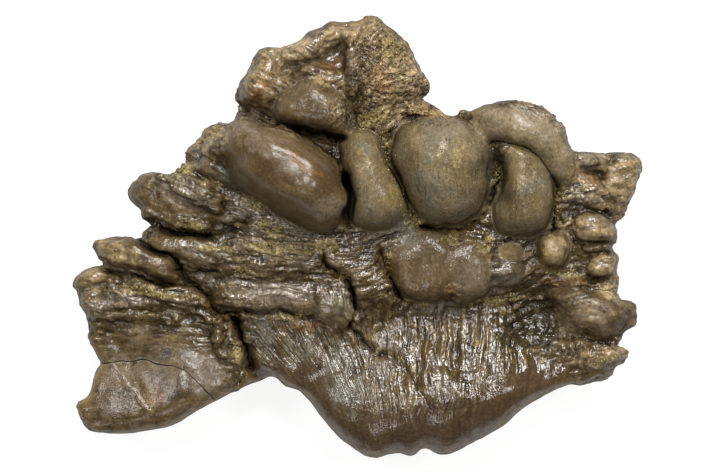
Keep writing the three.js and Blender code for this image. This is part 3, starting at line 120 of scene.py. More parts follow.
# Places on the front: x, y, height, and how wide the edge rolls over there
FRONT = (
    (-2.3, 66, 39, 3), (6, 66, 36, 3), (-11, 64, 39, 3), (-19, 60, 41, 3), (-30.7, 56, 40, 4),
    (-36, 48.7, 38, 4), (-14, 58, 43, 3), (-24, 52, 43, 3), (-7, 50, 44, 3), (-4, 55.3, 43, 4),
    (7.7, 55.3, 38, 3), (17.7, 53, 31, 3), (6, 43.7, 42, 3), (17.7, 43.7, 38, 3), (27.7, 39, 38, 3),
    (-36, 40.3, 34, 3), (-19, 32, 34, 4), (-5.7, 32, 34, 4), (50, 38, 47, 4), (58, 37, 49, 5),
    (64, 31, 48, 5), (67.5, 23, 44, 4), (48, 29.5, 45, 4), (-50.7, 33.7, 29, 4),
    (-50.7, 23.7, 38, 4), (-47.3, 17, 41, 4), (-39, 10.3, 43, 4), (-69, 13.7, 38, 4),
    (-55.7, 10.3, 41, 4), (-65.7, -1.3, 38, 3), (-79, -6.3, 36, 3), (-52.3, -3, 42, 3),
    (-35.7, -1.3, 43, 4), (-22.3, 0.3, 44, 4), (-29, -8.7, 41, 4), (-12.3, -6.3, 41, 4),
    (-5.7, -1.3, 43, 4), (4.3, -1.3, 44, 4), (14.3, 0.3, 42, 4), (-19, -21.3, 39, 4),
    (-39, -21.3, 38, 4), (1, -21.3, 40, 4), (21, -11.3, 41, 4), (41, -1.3, 42, 4),
    (54.3, -8, 40, 4), (64.3, -4.7, 38, 4), (72.7, 18.7, 40, 4), (84.3, 20.3, 36, 3),
    (92, 22, 31, 3), (87.7, 12, 32, 3), (74.3, 8.7, 40, 3), (81, -3, 34, 3), (72.7, -11.3, 35, 3),
    (82.7, -18, 34, 3), (81, -28, 37, 3), (89.3, -27.3, 33, 3), (67.7, -22, 34, 3),
    (61, -28, 26, 3), (62.7, -36.3, 32, 3), (77.7, -37, 34, 3), (85, -39.7, 31, 3),
    (79.3, -44.7, 36, 4), (-32.3, -33, 36, 4), (-30.7, -42, 33, 4), (-19, -36.3, 38, 4),
    (-19, -46.3, 38, 4), (-4, -36.3, 38, 5), (-4, -51.3, 43, 7), (11, -28, 36, 6),
    (11, -41.3, 41, 8), (11, -58, 47, 17), (27.7, -24.7, 34, 6), (31, -38, 40, 8),
    (31, -53, 48, 15), (47.7, -24.7, 34, 6), (51, -38, 41, 6), (51, -49.7, 46, 11),
    (64.3, -44.7, 40, 6), (9.3, -66.3, 46, 17), (24.3, -63, 47, 16), (-2.3, -60, 45, 11),
    (-89, -14.7, 33, 3), (-75.7, -16.3, 35, 3), (-59, -18, 36, 3), (-85.7, -24.7, 34, 2.5),
    (-72.3, -24.7, 36, 3), (-52.3, -24.7, 36, 3), (-84, -36.3, 33, 2.5), (-69, -34.7, 36, 3),
    (-50.7, -36.3, 36, 4), (-40.7, -38, 33, 4), (-82.3, -48, 34, 2.5), (-67.3, -48, 37, 5),
    (-52.3, -48, 40, 7), (-40.7, -46.3, 36, 6), (-85.7, -58, 37, 5), (-72.3, -58, 40, 7),
    (-59, -54.7, 42, 8),
)

# Places on the back: x, y, height. What is below zero is worn flat
BACK = (
    (0, 0, -2), (-20, 5, -2), (20, 5, -2), (0, 20, -2), (20, 22, -1), (-18, 20, -1), (0, -18, -2),
    (25, -14, -1.5), (-22, -14, -1.5), (45, 5, 1), (42, -15, 3), (-40, -10, 4), (-60, -15, 11),
    (-85, -15, 17), (-85, -40, 19), (-80, -58, 21), (-60, -50, 19), (-45, -42, 16), (-30, -38, 12),
    (0, -40, 8), (20, -45, 11), (40, -40, 11), (10, -62, 23), (30, -60, 20), (60, -40, 15),
    (80, -42, 18), (85, -20, 16), (85, 5, 14), (88, 22, 16), (62, 0, 6), (60, 28, 11), (45, 38, 15),
    (20, 48, 13), (5, 65, 16), (-15, 60, 14), (-33, 50, 13), (-50, 28, 11), (-70, 14, 18),
    (-45, 10, 5), (-72, -5, 15), (10, 40, 6), (-15, 40, 6),
)

# Knobs, tongues, lobes and ledges: height of the crown, of the domed body, fall of the crown
# along x and y, squareness, softness of the joint, outline
LUMPS = (
    ("left knob", 60.5, 25, (0.03, 0.1), 2.25, 2.5, (
        (-44, 29), (-42, 33), (-37.5, 36), (-32, 36.5), (-26, 35), (-19, 32), (-13, 29), (-8, 24.5),
        (-5, 19), (-4, 12), (-4, 5), (-11, 2), (-19, 3), (-26, 6.5), (-32, 10.5), (-37.5, 14),
        (-42.5, 19), (-44.5, 24),
    )),
    ("middle knob", 58.5, 22, (0.03, -0.08), 2.6, 1.5, (
        (-6.5, 31.5), (-6, 25.5), (-4.3, 20), (-3, 14.5), (-3, 8.5), (-1.8, 4.2), (2.8, 1.5),
        (7.5, 1.3), (12, 2.8), (16.2, 6), (17, 11), (15.2, 16), (12, 20.5), (10, 25.5), (8.3, 31.2),
        (5, 34.5), (0.2, 35.5), (-4, 34.5),
    )),
    ("big knob", 65, 27, (0, 0.03), 2.45, 1.2, (
        (12, 33), (16.5, 37), (25, 39.5), (34, 38), (40, 34.5), (43, 30), (44, 24.5), (43.5, 18),
        (41.5, 11), (37.5, 6.5), (30, 4.5), (22, 7), (17.5, 12.5), (14.5, 18.5), (12, 25.5),
    )),
    ("right knob", 59.5, 24, (0.02, 0), 2.5, 2, (
        (49.2, 30.2), (53, 31), (57.5, 29.4), (61.5, 25.6), (64.3, 20.3), (65.6, 14), (65.3, 8.4),
        (63.4, 3.5), (58.5, 0.2), (53, 0.2), (48, 1.8), (45, 5.5), (44.6, 10.2), (45.8, 15),
        (47.6, 19.5), (47.6, 25),
    )),
    ("second row, middle", 46.8, 6, (0, 0), 3, 6, (
        (12.5, -4.5), (15, -1), (18, 1.5), (22.5, 2.7), (26.5, 2), (29, -1), (30, -5), (31, -8.5),
        (31.5, -13), (31, -17), (27.5, -20), (22.5, -20.7), (17.5, -20), (13.7, -18), (12.3, -14),
        (11.8, -8.5),
    )),
    ("second row, right", 46.3, 5.5, (0, 0), 3, 6, (
        (30.5, -5), (33.5, -3), (37, -2), (40.3, -3), (42, -6.5), (43, -10.5), (43.7, -14.5),
        (43.7, -18.5), (41, -20.7), (36, -21), (32, -18.5), (30, -13), (30, -8.5),
    )),
    ("second row, left", 45.5, 7, (0, 0), 3.2, 5, (
        (-10.5, -6), (-7.5, -4.2), (-2.5, -4.8), (1.5, -5.5), (5, -8), (7.7, -12), (9.2, -16),
        (10, -20), (7.5, -22), (2.5, -22), (-1, -21), (-2.3, -17), (-4, -13), (-8, -10.5),
        (-10.3, -8.5),
    )),
    ("blue grey lump", 43, 9, (0, 0), 2.3, 4, (
        (44.5, -9), (48, -7), (53, -7.5), (56, -11), (55, -15.5), (51, -17), (46.5, -16.5),
        (44, -13),
    )),
    ("tan pebble", 45, 7, (0, 0), 2.4, 1.6, (
        (46.5, -5), (48.5, -2.8), (52, -2.8), (54, -4.5), (53.5, -7), (50, -7.7), (47, -7),
    )),
    ("small brown knob", 45.5, 9, (0, 0), 2.6, 2, (
        (63, 0.7), (67.5, 1), (70, -1), (71, -4.5), (70, -8.5), (67, -10.5), (63, -10.5),
        (60.5, -8.5), (59.7, -4.5), (60.7, -1),
    )),
    ("right block", 45.5, 11, (0, -0.3), 3.2, 2, (
        (72, 7), (77.5, 8), (82.5, 7.5), (85.3, 5.3), (85.7, 1.5), (84, -0.5), (79, -1), (74, -0.7),
        (71.5, 1.5), (70.7, 5),
    )),
    ("right small block", 42, 9, (0, -0.2), 2.8, 1.6, (
        (76.7, -8.5), (78, -5.8), (82.5, -5), (85.5, -5.3), (87.2, -7), (86.3, -10), (85, -12),
        (82, -13), (78, -12.3), (76.7, -10.5),
    )),
    ("right ledge, upper", 40, 8, (0, 0), 3, 1.6, (
        (71.5, -2), (78, -1.3), (84.5, -2), (85.3, -4), (84, -5.2), (78, -5.3), (72, -4.8),
    )),
    ("right ledge, middle", 39, 8, (0, 0), 3, 1.6, (
        (65, -14.5), (70, -13.2), (78, -13.4), (84.5, -14), (86, -15.5), (84, -17), (76, -17),
        (67, -16.7),
    )),
    ("right lobe", 42.5, 11, (0, 0.15), 2.7, 5, (
        (63, -19), (67.5, -16.5), (72.5, -16), (77.5, -17.5), (83.5, -18.5), (86.5, -21),
        (91, -23.3), (91.7, -25.5), (90.3, -29.5), (87.5, -32), (84, -33.5), (79, -34), (74, -33),
        (70, -30.5), (68, -26), (66, -22),
    )),
    ("right lower ledge", 39, 10, (0, 0.1), 2.8, 3, (
        (67, -36), (74, -34.7), (81, -35), (86, -36.8), (89, -39), (86.8, -42), (81, -43.3),
        (74, -42), (69, -39.5),
    )),
    ("right rim", 33, 10, (0, 0), 2.6, 3, (
        (60, -44), (68, -41.5), (76, -42), (83, -43), (85.3, -45.5), (83, -47.8), (78, -48),
        (71, -48.7), (64, -51), (57, -54.5), (52, -56), (54, -51),
    )),
    ("end slab", 37, 12, (-0.15, 0.1), 4, 1, (
        (82, 22), (84.5, 26), (89, 27.7), (93.3, 26.3), (95, 24), (93.7, 19), (91, 13), (86.5, 9.5),
        (82.5, 12), (81, 17),
    )),
    ("shelf behind the knobs", 41, 12, (-0.1, 0), 3, 1.5, (
        (69.5, 24), (71, 28), (77, 27.3), (82, 27), (83, 22), (82, 15), (79, 10.5), (73, 10),
        (70, 14),
    )),
    ("upper tongue", 47.5, 12, (-0.12, 0.05), 2.5, 3, (
        (-76, 14.7), (-73.5, 18.5), (-70, 20.3), (-64, 19.5), (-59, 19.4), (-54, 18.7), (-49, 16),
        (-45, 12.5), (-41.5, 8.5), (-40, 5), (-44, 2.7), (-51, 2.5), (-57.5, 3.5), (-64, 5),
        (-69, 6.7), (-72, 10), (-75, 12.7),
    )),
    ("tongue behind the crack", 44, 7, (0, 0), 3.2, 5, (
        (-69, -1), (-64, 1.3), (-57.5, 1), (-51, 0), (-45, -3.5), (-43, -7), (-45, -10),
        (-51, -10.3), (-56, -9), (-60, -6), (-64, -4.3), (-68.5, -2.6),
    )),
    ("middle tongue", 41.8, 8, (0.05, 0), 3.2, 4, (
        (-87.3, -2.3), (-84, -1.2), (-77.5, -0.6), (-73.5, -1), (-69, -3.7), (-64, -6.7),
        (-60.5, -9.5), (-58, -13), (-61, -14), (-67.5, -12.7), (-74, -10.8), (-81, -10),
        (-84, -8.5), (-85.5, -5),
    )),
    ("left lip", 38, 9, (0, 0), 2.4, 1, (
        (-95, -16), (-92.7, -12.3), (-88, -10.5), (-83.5, -10.8), (-81.5, -13), (-83.5, -15.7),
        (-90, -17.3), (-93.5, -18),
    )),
    ("left block", 38, 10, (0, 0), 2.8, 3, (
        (-92.3, -18.5), (-87.5, -17.3), (-83, -18.5), (-81.5, -23), (-82.5, -27.5), (-85.5, -31),
        (-89, -31), (-90, -26), (-92.3, -22),
    )),
    ("long tongue", 42.8, 7, (0, 0), 3.2, 5, (
        (-47.5, -21), (-45, -16.5), (-39, -14), (-29, -13), (-19, -13.5), (-11, -14), (-5, -15.5),
        (-2.3, -19.5), (-1, -24), (-2.7, -27), (-7.5, -28.5), (-13, -27), (-17.5, -24.7),
        (-26, -23.7), (-36, -24), (-43, -23.3),
    )),
    ("long tongue, tip", 43.8, 5, (0, 0), 2.6, 4, (
        (-14, -20), (-11, -16.5), (-6.5, -16.5), (-3, -20), (-2.2, -24.5), (-5, -27.3), (-9.5, -27),
        (-13, -24.3),
    )),
    ("rough shelf", 45.5, 9, (0, 0), 3.4, 4, (
        (-45, -1.5), (-36, 0.5), (-22.5, 0.7), (-12.5, -1), (-10.3, -6), (-8.5, -10.5),
        (-13, -12.3), (-22.5, -12.6), (-34, -12), (-43.5, -10),
    )),
    ("top node", 52.5, 14, (0.02, -0.03), 3, 6, (
        (-27.2, 39.5), (-26.5, 44.2), (-23.5, 48.2), (-19.2, 51.5), (-13.8, 52.8), (-8.5, 50.2),
        (-4.2, 46.2), (-1.5, 41.5), (-1.2, 37.5), (-4.2, 34.5), (-9.2, 34.5), (-14.2, 35.5),
        (-19.2, 36.8), (-23.8, 37.5),
    )),
    ("block, left shoulder", 45, 14, (0, 0), 2.7, 4, (
        (-39.5, 47), (-38.5, 51.5), (-35.5, 56), (-31, 61), (-26.5, 60.5), (-26, 55.5),
        (-28.5, 50.5), (-31, 46.5), (-36, 44),
    )),
    ("block, rim", 45, 12, (0, 0), 2.8, 4, (
        (-27, 58), (-26, 62), (-19, 65), (-13, 68), (-9, 70.5), (-4, 70), (-2, 66), (-6, 61.5),
        (-14, 58), (-22, 55.5),
    )),
    ("spongy bone", 45, 16, (0, 0.03), 3.4, 3, (
        (-3.5, 68), (4.5, 72.5), (8, 69.5), (12, 66.5), (16.5, 61.5), (20, 56), (23, 50.5),
        (20, 46.5), (14, 44), (6, 43), (0, 45), (-3, 50), (-4.5, 58),
    )),
    ("shard", 40, 10, (0, 0), 2.8, 1.5, (
        (10, 45), (18, 46.5), (25, 43), (31, 39.5), (26, 39), (18, 39.5), (11, 40.5),
    )),
    ("rear lobe", 34, 10, (0, 0), 2.4, 0.8, (
        (-52.5, 32), (-50.5, 36), (-47.5, 37), (-44, 35.3), (-43, 32), (-46, 29), (-51, 28.5),
    )),
    ("rear lobe, lower", 31, 9, (0, 0), 2.4, 0.8, (
        (-57.3, 26), (-56, 29.3), (-52.5, 32), (-50, 29), (-52, 24.5), (-56, 23.5),
    )),
    ("left shoulder", 44, 12, (0, 0), 2.6, 1.5, (
        (-52.5, 25.5), (-51, 30.5), (-46, 33), (-41, 32), (-39, 25.5), (-39.5, 17), (-43, 14),
        (-49, 16.3), (-54, 19.7), (-56, 22.5),
    )),
)

# Ridges and curved knobs: softness, then x, y, height of the crest, radius
RIDGES = (
    ("left knob, crest", 7, (
        (-37, 30.5, 57, 7), (-27, 25, 62, 8), (-17, 18, 63, 8), (-10, 11, 60.5, 7),
    )),
    ("upper right knob", 3, (
        (42.5, 36.8, 47, 3.8), (46.5, 37.2, 52.5, 5.6), (52, 37, 56.5, 7.1), (58, 34.8, 57, 7.1),
        (62.6, 30.6, 55.5, 6.2), (65.7, 25.8, 52.5, 5), (67, 21.5, 48.5, 3.6), (66.8, 18, 45, 2.4),
    )),
    ("right knob, tail", 2, (
        (46.6, 26.4, 50, 1.8), (49.6, 27.6, 54, 2.6), (53.5, 26.4, 56, 3.6),
    )),
    ("ridge over the upper tongue", 2, (
        (-69, 19, 45, 1.3), (-60, 18.6, 48.5, 1.4), (-52, 15.5, 51, 1.5), (-45.5, 12, 50, 1.3),
    )),
    ("second ridge of the upper tongue", 2, (
        (-60, 16, 49, 1.1), (-52, 12.5, 50.6, 1.3), (-46.5, 8.5, 49.5, 1),
    )),
    ("lower ridge of the upper tongue", 2, (
        (-70, 8.2, 45, 1.2), (-60, 5.6, 47, 1.3), (-50, 4.6, 48, 1.2),
    )),
    ("plate, ridge by the gap", 2, (
        (-46.5, -28, 39, 1.3), (-46.5, -32, 39, 1.5), (-45, -38, 38, 1.5), (-43, -42, 36, 1.3),
    )),
    ("plate, outer ridge by the gap", 2, (
        (-43, -29.5, 36, 1.2), (-41, -34, 36, 1.3), (-39, -40, 34, 1.3), (-37.5, -43.5, 32, 1.2),
    )),
    ("plate, cross ridge", 2, (
        (-46, -37, 38, 1.3), (-41, -41.5, 36, 1.4), (-36.5, -43.5, 33, 1.3),
    )),
    ("layer 1", 1.8, (
        (-83, -17, 38.5, 1.1), (-72, -16.3, 40, 1.3), (-62, -16.5, 41, 1.3), (-53, -19.5, 41, 1),
    )),
    ("layer 2", 1.8, (
        (-84, -19.5, 38, 1), (-74, -19, 39.5, 1.3), (-64, -19.2, 40.5, 1.3),
        (-54, -21.6, 40.5, 1.1), (-48.5, -24.5, 39, 0.9),
    )),
    ("layer 3", 1.8, (
        (-84, -22.3, 37.5, 1.1), (-74, -21.7, 39, 1.2), (-66, -21.9, 39.5, 1.2),
        (-56, -23.8, 39.5, 1.1), (-49.5, -27, 38, 0.9),
    )),
    ("layer 4", 1.8, (
        (-85, -26, 37, 1.1), (-76, -26.3, 38, 1.2), (-68, -26.6, 38.5, 1.1), (-60, -27, 38, 0.9),
    )),
    ("ledge 1", 2, (
        (58, -33.5, 34, 1.2), (66, -34.5, 36, 1.4), (74, -36.5, 38.5, 1.3), (81, -38.5, 39, 1),
    )),
    ("ledge 2", 2, (
        (57, -37, 35.5, 1.2), (64, -38, 36.5, 1.4), (71, -40.5, 37, 1.3), (77, -42.5, 36, 1),
    )),
    ("ledge 3", 2, (
        (59, -41, 36, 1.2), (66, -41.6, 36, 1.3), (73, -42.6, 35, 1.2), (80, -43.5, 34, 1),
    )),
    ("shelf edge 1", 2, (
        (70, 25, 42, 1.2), (76, 24.6, 42.4, 1.3), (82, 23, 40, 1.1),
    )),
    ("shelf edge 2", 2, (
        (71, 18.5, 42, 1.2), (77, 16.8, 42.4, 1.3), (83, 14, 39.5, 1.1),
    )),
    ("shelf edge 3", 2, (
        (71, 12.5, 42, 1.3), (77, 12, 43, 1.5), (84, 10, 40, 1.3),
    )),
    ("block ridge", 4, (
        (-26, 50.5, 45, 1.6), (-17, 54.5, 47, 1.8), (-9, 54, 47, 1.6), (-3, 51, 46, 1.4),
    )),
    ("block ridge, left", 4, (
        (-31, 60.5, 42, 1.3), (-28.5, 55, 44, 1.4), (-29, 49, 44, 1.3), (-30, 45, 42, 1.1),
    )),
    ("block ridge, upper", 4, (
        (-23, 60, 44, 1.3), (-14, 63, 45, 1.5), (-9, 67.5, 43, 1.3),
    )),
    ("spongy edge", 3, (
        (-4, 67, 46, 1.5), (-2.5, 60, 48, 1.6), (-1, 54, 49, 1.5), (-2, 48, 48, 1.3),
    )),
)

# Cracks and crevices in the front: half width, depth, path
CRACKS = (
    ("main crack, left end", 0.8, 4.5, (
        (-74.5, 0.5), (-72, -2), (-69, -3.6), (-66, -4.6), (-63, -5.6), (-60.5, -7.5), (-59, -10),
        (-58, -12.3), (-56.3, -14.3), (-54.8, -16), (-52.5, -17.2), (-51, -19), (-49.5, -20.3),
        (-48.8, -22.2), (-48.2, -24), (-46.8, -25), (-44.5, -26), (-42, -27.3),
    )),
    ("main crack, gap", 1.4, 11, (
        (-42, -27), (-40.5, -28.3), (-39, -31), (-38, -34.5), (-37.2, -38.5), (-36.3, -43),
    )),
    ("gap, left side", 1.1, 7, (
        (-43.5, -26.3), (-40.5, -27), (-39, -28),
    )),
    ("curved crack", 0.7, 3.2, (
        (-11.5, -4.5), (-10.8, -8.5), (-9.8, -10.5), (-7.5, -12.2), (-4.8, -13.8), (-2.8, -15.5),
        (-2.2, -18), (-2.2, -20), (-1.2, -22.5), (-0.8, -24.5), (-1.5, -27.2), (-2.5, -29.2),
        (-1.5, -31), (0.2, -32.5), (1.5, -34.5), (3, -36.2), (5, -38),
    )),
    ("apron crack", 0.6, 1.6, (
        (6, -39.5), (9.5, -39.2), (11.5, -40.5), (13, -42.2), (15, -43.5), (16.5, -45), (18, -47.2),
        (19.5, -50.5), (21, -52.5), (23, -55), (24.7, -56.7),
    )),
    ("plate crack", 0.6, 1.4, (
        (-87, -41.5), (-83, -41.8), (-80, -41.2), (-76, -41.2), (-72.5, -41.2), (-69, -41.5),
        (-66, -42.2), (-62, -43.2), (-58.5, -45), (-56, -46.5), (-53.5, -48.3), (-51.5, -51),
        (-49.3, -52.7), (-48.2, -54.3),
    )),
    ("plate groove", 1, 1.4, (
        (-84.5, -31), (-82, -33.3), (-80, -36), (-78, -39), (-76.5, -41.2), (-75.7, -44),
        (-74.7, -47.2), (-72.8, -50.2), (-70.5, -54.2), (-69, -57),
    )),
    ("crevice right of the left knob", 1.05, 8, (
        (-2.8, 21), (-3.2, 17), (-2.6, 13), (-2.8, 8), (-2.6, 4.5),
    )),
    ("crevice beside the big knob", 1, 1.2, (
        (10.5, 33), (10.2, 27), (12.8, 20.5), (15.2, 15.5), (17.6, 10.5), (19.5, 5.5),
    )),
    ("crevice under the big knob", 1, 4, (
        (21, 4), (28, 2.8), (36, 3.6), (41, 6.8), (44, 12), (45.8, 18), (46.2, 24),
    )),
    ("crevice inside the right knobs", 0.6, 2.5, (
        (43.2, 31.6), (47.5, 32.4), (51.5, 31.8), (55.8, 30), (60.2, 26.8), (63.7, 22.4),
        (66, 17.5),
    )),
    ("crevice right of the right knob", 0.9, 3.5, (
        (66.4, 16.5), (66.4, 10), (65.4, 4.5), (64.5, 0.5),
    )),
    ("crevice under the top node", 0.9, 5, (
        (-21, 36.3), (-15, 34.6), (-10, 33.6), (-4, 33.2),
    )),
    ("crevice in the second row", 0.9, 6, (
        (7.6, -3.6), (9, -7), (10.3, -12), (12, -17), (14.5, -21.5),
    )),
    ("crevice under the upper tongue", 0.9, 3, (
        (-64, 3), (-56, 1.6), (-48, 1.2), (-41, 2.2), (-37, 5),
    )),
    ("crevice under the middle tongue", 0.8, 2.5, (
        (-85, -12), (-78, -12.3), (-70, -14.3), (-62, -15.3), (-57, -15.5),
    )),
    ("crevice under the second tongue", 0.7, 1.5, (
        (-60, -10.5), (-54, -11.3), (-47, -11.3),
    )),
    ("crevice under the long tongue", 0.8, 2, (
        (-44, -25), (-34, -25.3), (-24, -25), (-17, -27),
    )),
    ("seam between the second row lumps", 0.6, 0.7, (
        (29.5, 1), (30.3, -4), (31.2, -9), (31.8, -14), (31.5, -20),
    )),
)

# Hollows and pits in the front: place, radii, turn, depth
HOLLOWS = (
    ("dark hollow", (60, -27.5), (9, 7.5), 25, 2.4),
    ("hollow between the right knobs", (47, 18), (2.4, 6.5), 8, 6),
    ("shelf pit", (79.5, 21), (3.2, 1.8), -15, 3),
    ("apron pit", (8.3, -39.3), (1.7, 1.2), 0, 3),
    ("block scoop", (-9, 62), (5.5, 5), 30, 3),
    ("block dent", (-20, 56.5), (6, 2.2), 15, 1.5),
    ("notch of the upper tongue", (-67.3, 15.5), (1.2, 3), 20, 2.5),
    ("dark end of the arch", (-33, -45), (5, 2), 0, 4),
    ("broken face of the top node", (-3.2, 40.5), (4.2, 4.4), 0, 4),
)


def rounded_loop(points, step):
    """An even, smooth closed curve through given points."""
    p = np.array(points, float)
    before, after, beyond = np.roll(p, 1, 0), np.roll(p, -1, 0), np.roll(p, -2, 0)
    parts = []
    for t in np.arange(0, 1, 0.125):
        parts.append(0.5 * (
            2 * p + (after - before) * t
            + (2 * before - 5 * p + 4 * after - beyond) * t ** 2
            + (3 * p - before - 3 * after + beyond) * t ** 3
        ))
    curve = np.stack(parts, 1).reshape(-1, 2)
    closed = np.vstack([curve, curve[:1]])
    length = np.concatenate([[0], np.cumsum(np.hypot(*np.diff(closed, axis=0).T))])
    even = np.arange(0, length[-1], step)
    return np.stack([np.interp(even, length, closed[:, i]) for i in (0, 1)], 1)


def to_stretch(x, y, start, end):
    """Distance to a straight stretch, and how far along it the nearest place is."""
    ex, ey = end[0] - start[0], end[1] - start[1]
    t = np.clip(((x - start[0]) * ex + (y - start[1]) * ey) / (ex * ex + ey * ey), 0, 1)
    return np.hypot(x - start[0] - t * ex, y - start[1] - t * ey), t


def to_path(x, y, path):
    """Distance to the nearest stretch of a path."""
    return np.minimum.reduce([to_stretch(x, y, a, b)[0] for a, b in zip(path, path[1:])])


def depth_inside(x, y, loop):
    """Depth inside a closed loop, negative outside it."""
    nearest = np.full(x.shape, np.inf)
    inside = np.zeros(x.shape, bool)
    for a, b in zip(loop, np.roll(loop, -1, 0)):
        nearest = np.minimum(nearest, to_stretch(x, y, a, b)[0])
        if a[1] != b[1]:
            level = (a[1] > y) != (b[1] > y)
            inside ^= level & (x < (b[0] - a[0]) * (y - a[1]) / (b[1] - a[1]) + a[0])
    return np.where(inside, nearest, -nearest)


def between(places, x, y, reach):
    """The weighted mean of what is stated at a few places."""
    total = np.zeros(x.shape)
    sums = [np.zeros(x.shape) for _ in places[0][2:]]
    for px, py, *values in places:
        squared = (x - px) ** 2 + (y - py) ** 2
        weight = np.exp(-squared / (2 * reach * reach)) + 1e-9 / (1 + squared)
        total += weight
        for i, value in enumerate(values):
            sums[i] += weight * value
    return [s / total for s in sums]


def soft_min(a, b, blend):
    """The lower of two fields, with the joint between them filled in softly."""
    h = np.clip(0.5 + 0.5 * (b - a) / blend, 0, 1)
    return b + (a - b) * h - blend * h * (1 - h)


def soft_step(start, end, value):
    """0 before start and 1 after end, with a soft rise between."""
    t = np.clip((value - start) / (end - start), 0, 1)
    return t * t * (3 - 2 * t)


WAVE_GAIN = 1.6
SEED_STRIDE = 17.3
directions = np.random.default_rng(11).normal(size=(256, 3))
directions /= np.linalg.norm(directions, axis=1, keepdims=True)
shuffled = np.random.default_rng(12).permutation(256)


def waves(places, size, seed=0):
    """Smooth random hills and dips, from about -1 to 1, of one size or one size per axis."""
    p = places / size + seed * SEED_STRIDE
    cell = np.floor(p).astype(int)
    local = p - cell
    fade = local ** 3 * (local * (local * 6 - 15) + 10)
    total = np.zeros(len(p))
    for i in (0, 1):
        for j in (0, 1):
            for k in (0, 1):
                corner = cell + (i, j, k)
                key = shuffled[(shuffled[(shuffled[corner[:, 0] & 255] + corner[:, 1]) & 255]
                                + corner[:, 2]) & 255]
                dot = ((local - (i, j, k)) * directions[key]).sum(1)
                weight = np.ones(len(p))
                for axis, side in enumerate((i, j, k)):
                    weight *= fade[:, axis] if side else 1 - fade[:, axis]
                total += weight * dot
    return total * WAVE_GAIN


def strayed(x, y):
    """Places as the smooth given shapes know them: real bone wanders off every such line."""
    flat = np.stack([x, y, 0 * x], -1).reshape(-1, 3)
    wide, narrow = (
        [far * waves(flat, size, seed).reshape(x.shape) for seed in seeds]
        for size, far, seeds in STRAYING
    )
    return tuple(place + w + n for place, w, n in zip((x, y, 0), wide, narrow))


class Lump:
    """A squarish dome over its own outline."""

    def __init__(self, name, top, body, slope, square, blend, outline):
        self.name, self.top, self.body, self.slope = name, top, body, slope
        self.square, self.blend = square, blend
        loop = rounded_loop(outline, LOOP_STEP)
        self.centre = loop.mean(0)
        angle = np.arctan2(*(loop - self.centre).T[::-1])
        order = np.argsort(angle)
        self.angles = angle[order]
        self.radii = np.hypot(*(loop - self.centre).T)[order]
        self.widest = self.radii.max()

    def across(self, x, y):
        """How far out a place is, as a share of the outline's reach in its direction."""
        dx, dy = x - self.centre[0], y - self.centre[1]
        reach = np.interp(np.arctan2(dy, dx), self.angles, self.radii, period=2 * math.pi)
        return np.hypot(dx, dy) / reach

    def field(self, x, y, z):
        """Negative inside the dome, zero on its skin."""
        dx, dy = x - self.centre[0], y - self.centre[1]
        crown = self.top + self.slope[0] * dx + self.slope[1] * dy
        out = self.across(x, y) ** self.square
        up = np.abs((z - crown + self.body) / self.body) ** self.square
        return ((out + up) ** (1 / self.square) - 1) * min(self.widest, self.body)


def sunk(x, y):
    """How far the front is sunk by cracks, crevices and hollows."""
    depth = np.zeros(x.shape)
    flat = np.stack([x, y, 0 * x], -1).reshape(-1, 3)
    uneven = 1 + CRACK_WAVER * waves(flat, 5, 31).reshape(x.shape)
    for _, half_width, deepest, path in CRACKS:
        width = half_width * np.clip(uneven, NARROWEST_CRACK, WIDEST_CRACK)
        depth = np.maximum(depth, deepest * np.exp(-(to_path(x, y, path) / width) ** 2))
    for _, centre, radii, turn, deepest in HOLLOWS:
        depth = np.maximum(depth, deepest * spot(x, y, centre, radii, turn))
    return depth


def spot(x, y, centre, radii, turn):
    """A soft round or oval spot, 1 in its middle."""
    c, s = math.cos(math.radians(turn)), math.sin(math.radians(turn))
    dx, dy = x - centre[0], y - centre[1]
    return np.exp(-((dx * c + dy * s) / radii[0]) ** 2 - ((dy * c - dx * s) / radii[1]) ** 2)


lumps = [Lump(*row) for row in LUMPS]
outline = rounded_loop(OUTLINE, LOOP_STEP)
xs = np.arange(outline[:, 0].min() - MARGIN, outline[:, 0].max() + MARGIN, SAMPLE)
ys = np.arange(outline[:, 1].min() - MARGIN, outline[:, 1].max() + MARGIN, SAMPLE)
zs = np.arange(-MARGIN, max(lump.top for lump in lumps) + MARGIN, SAMPLE)


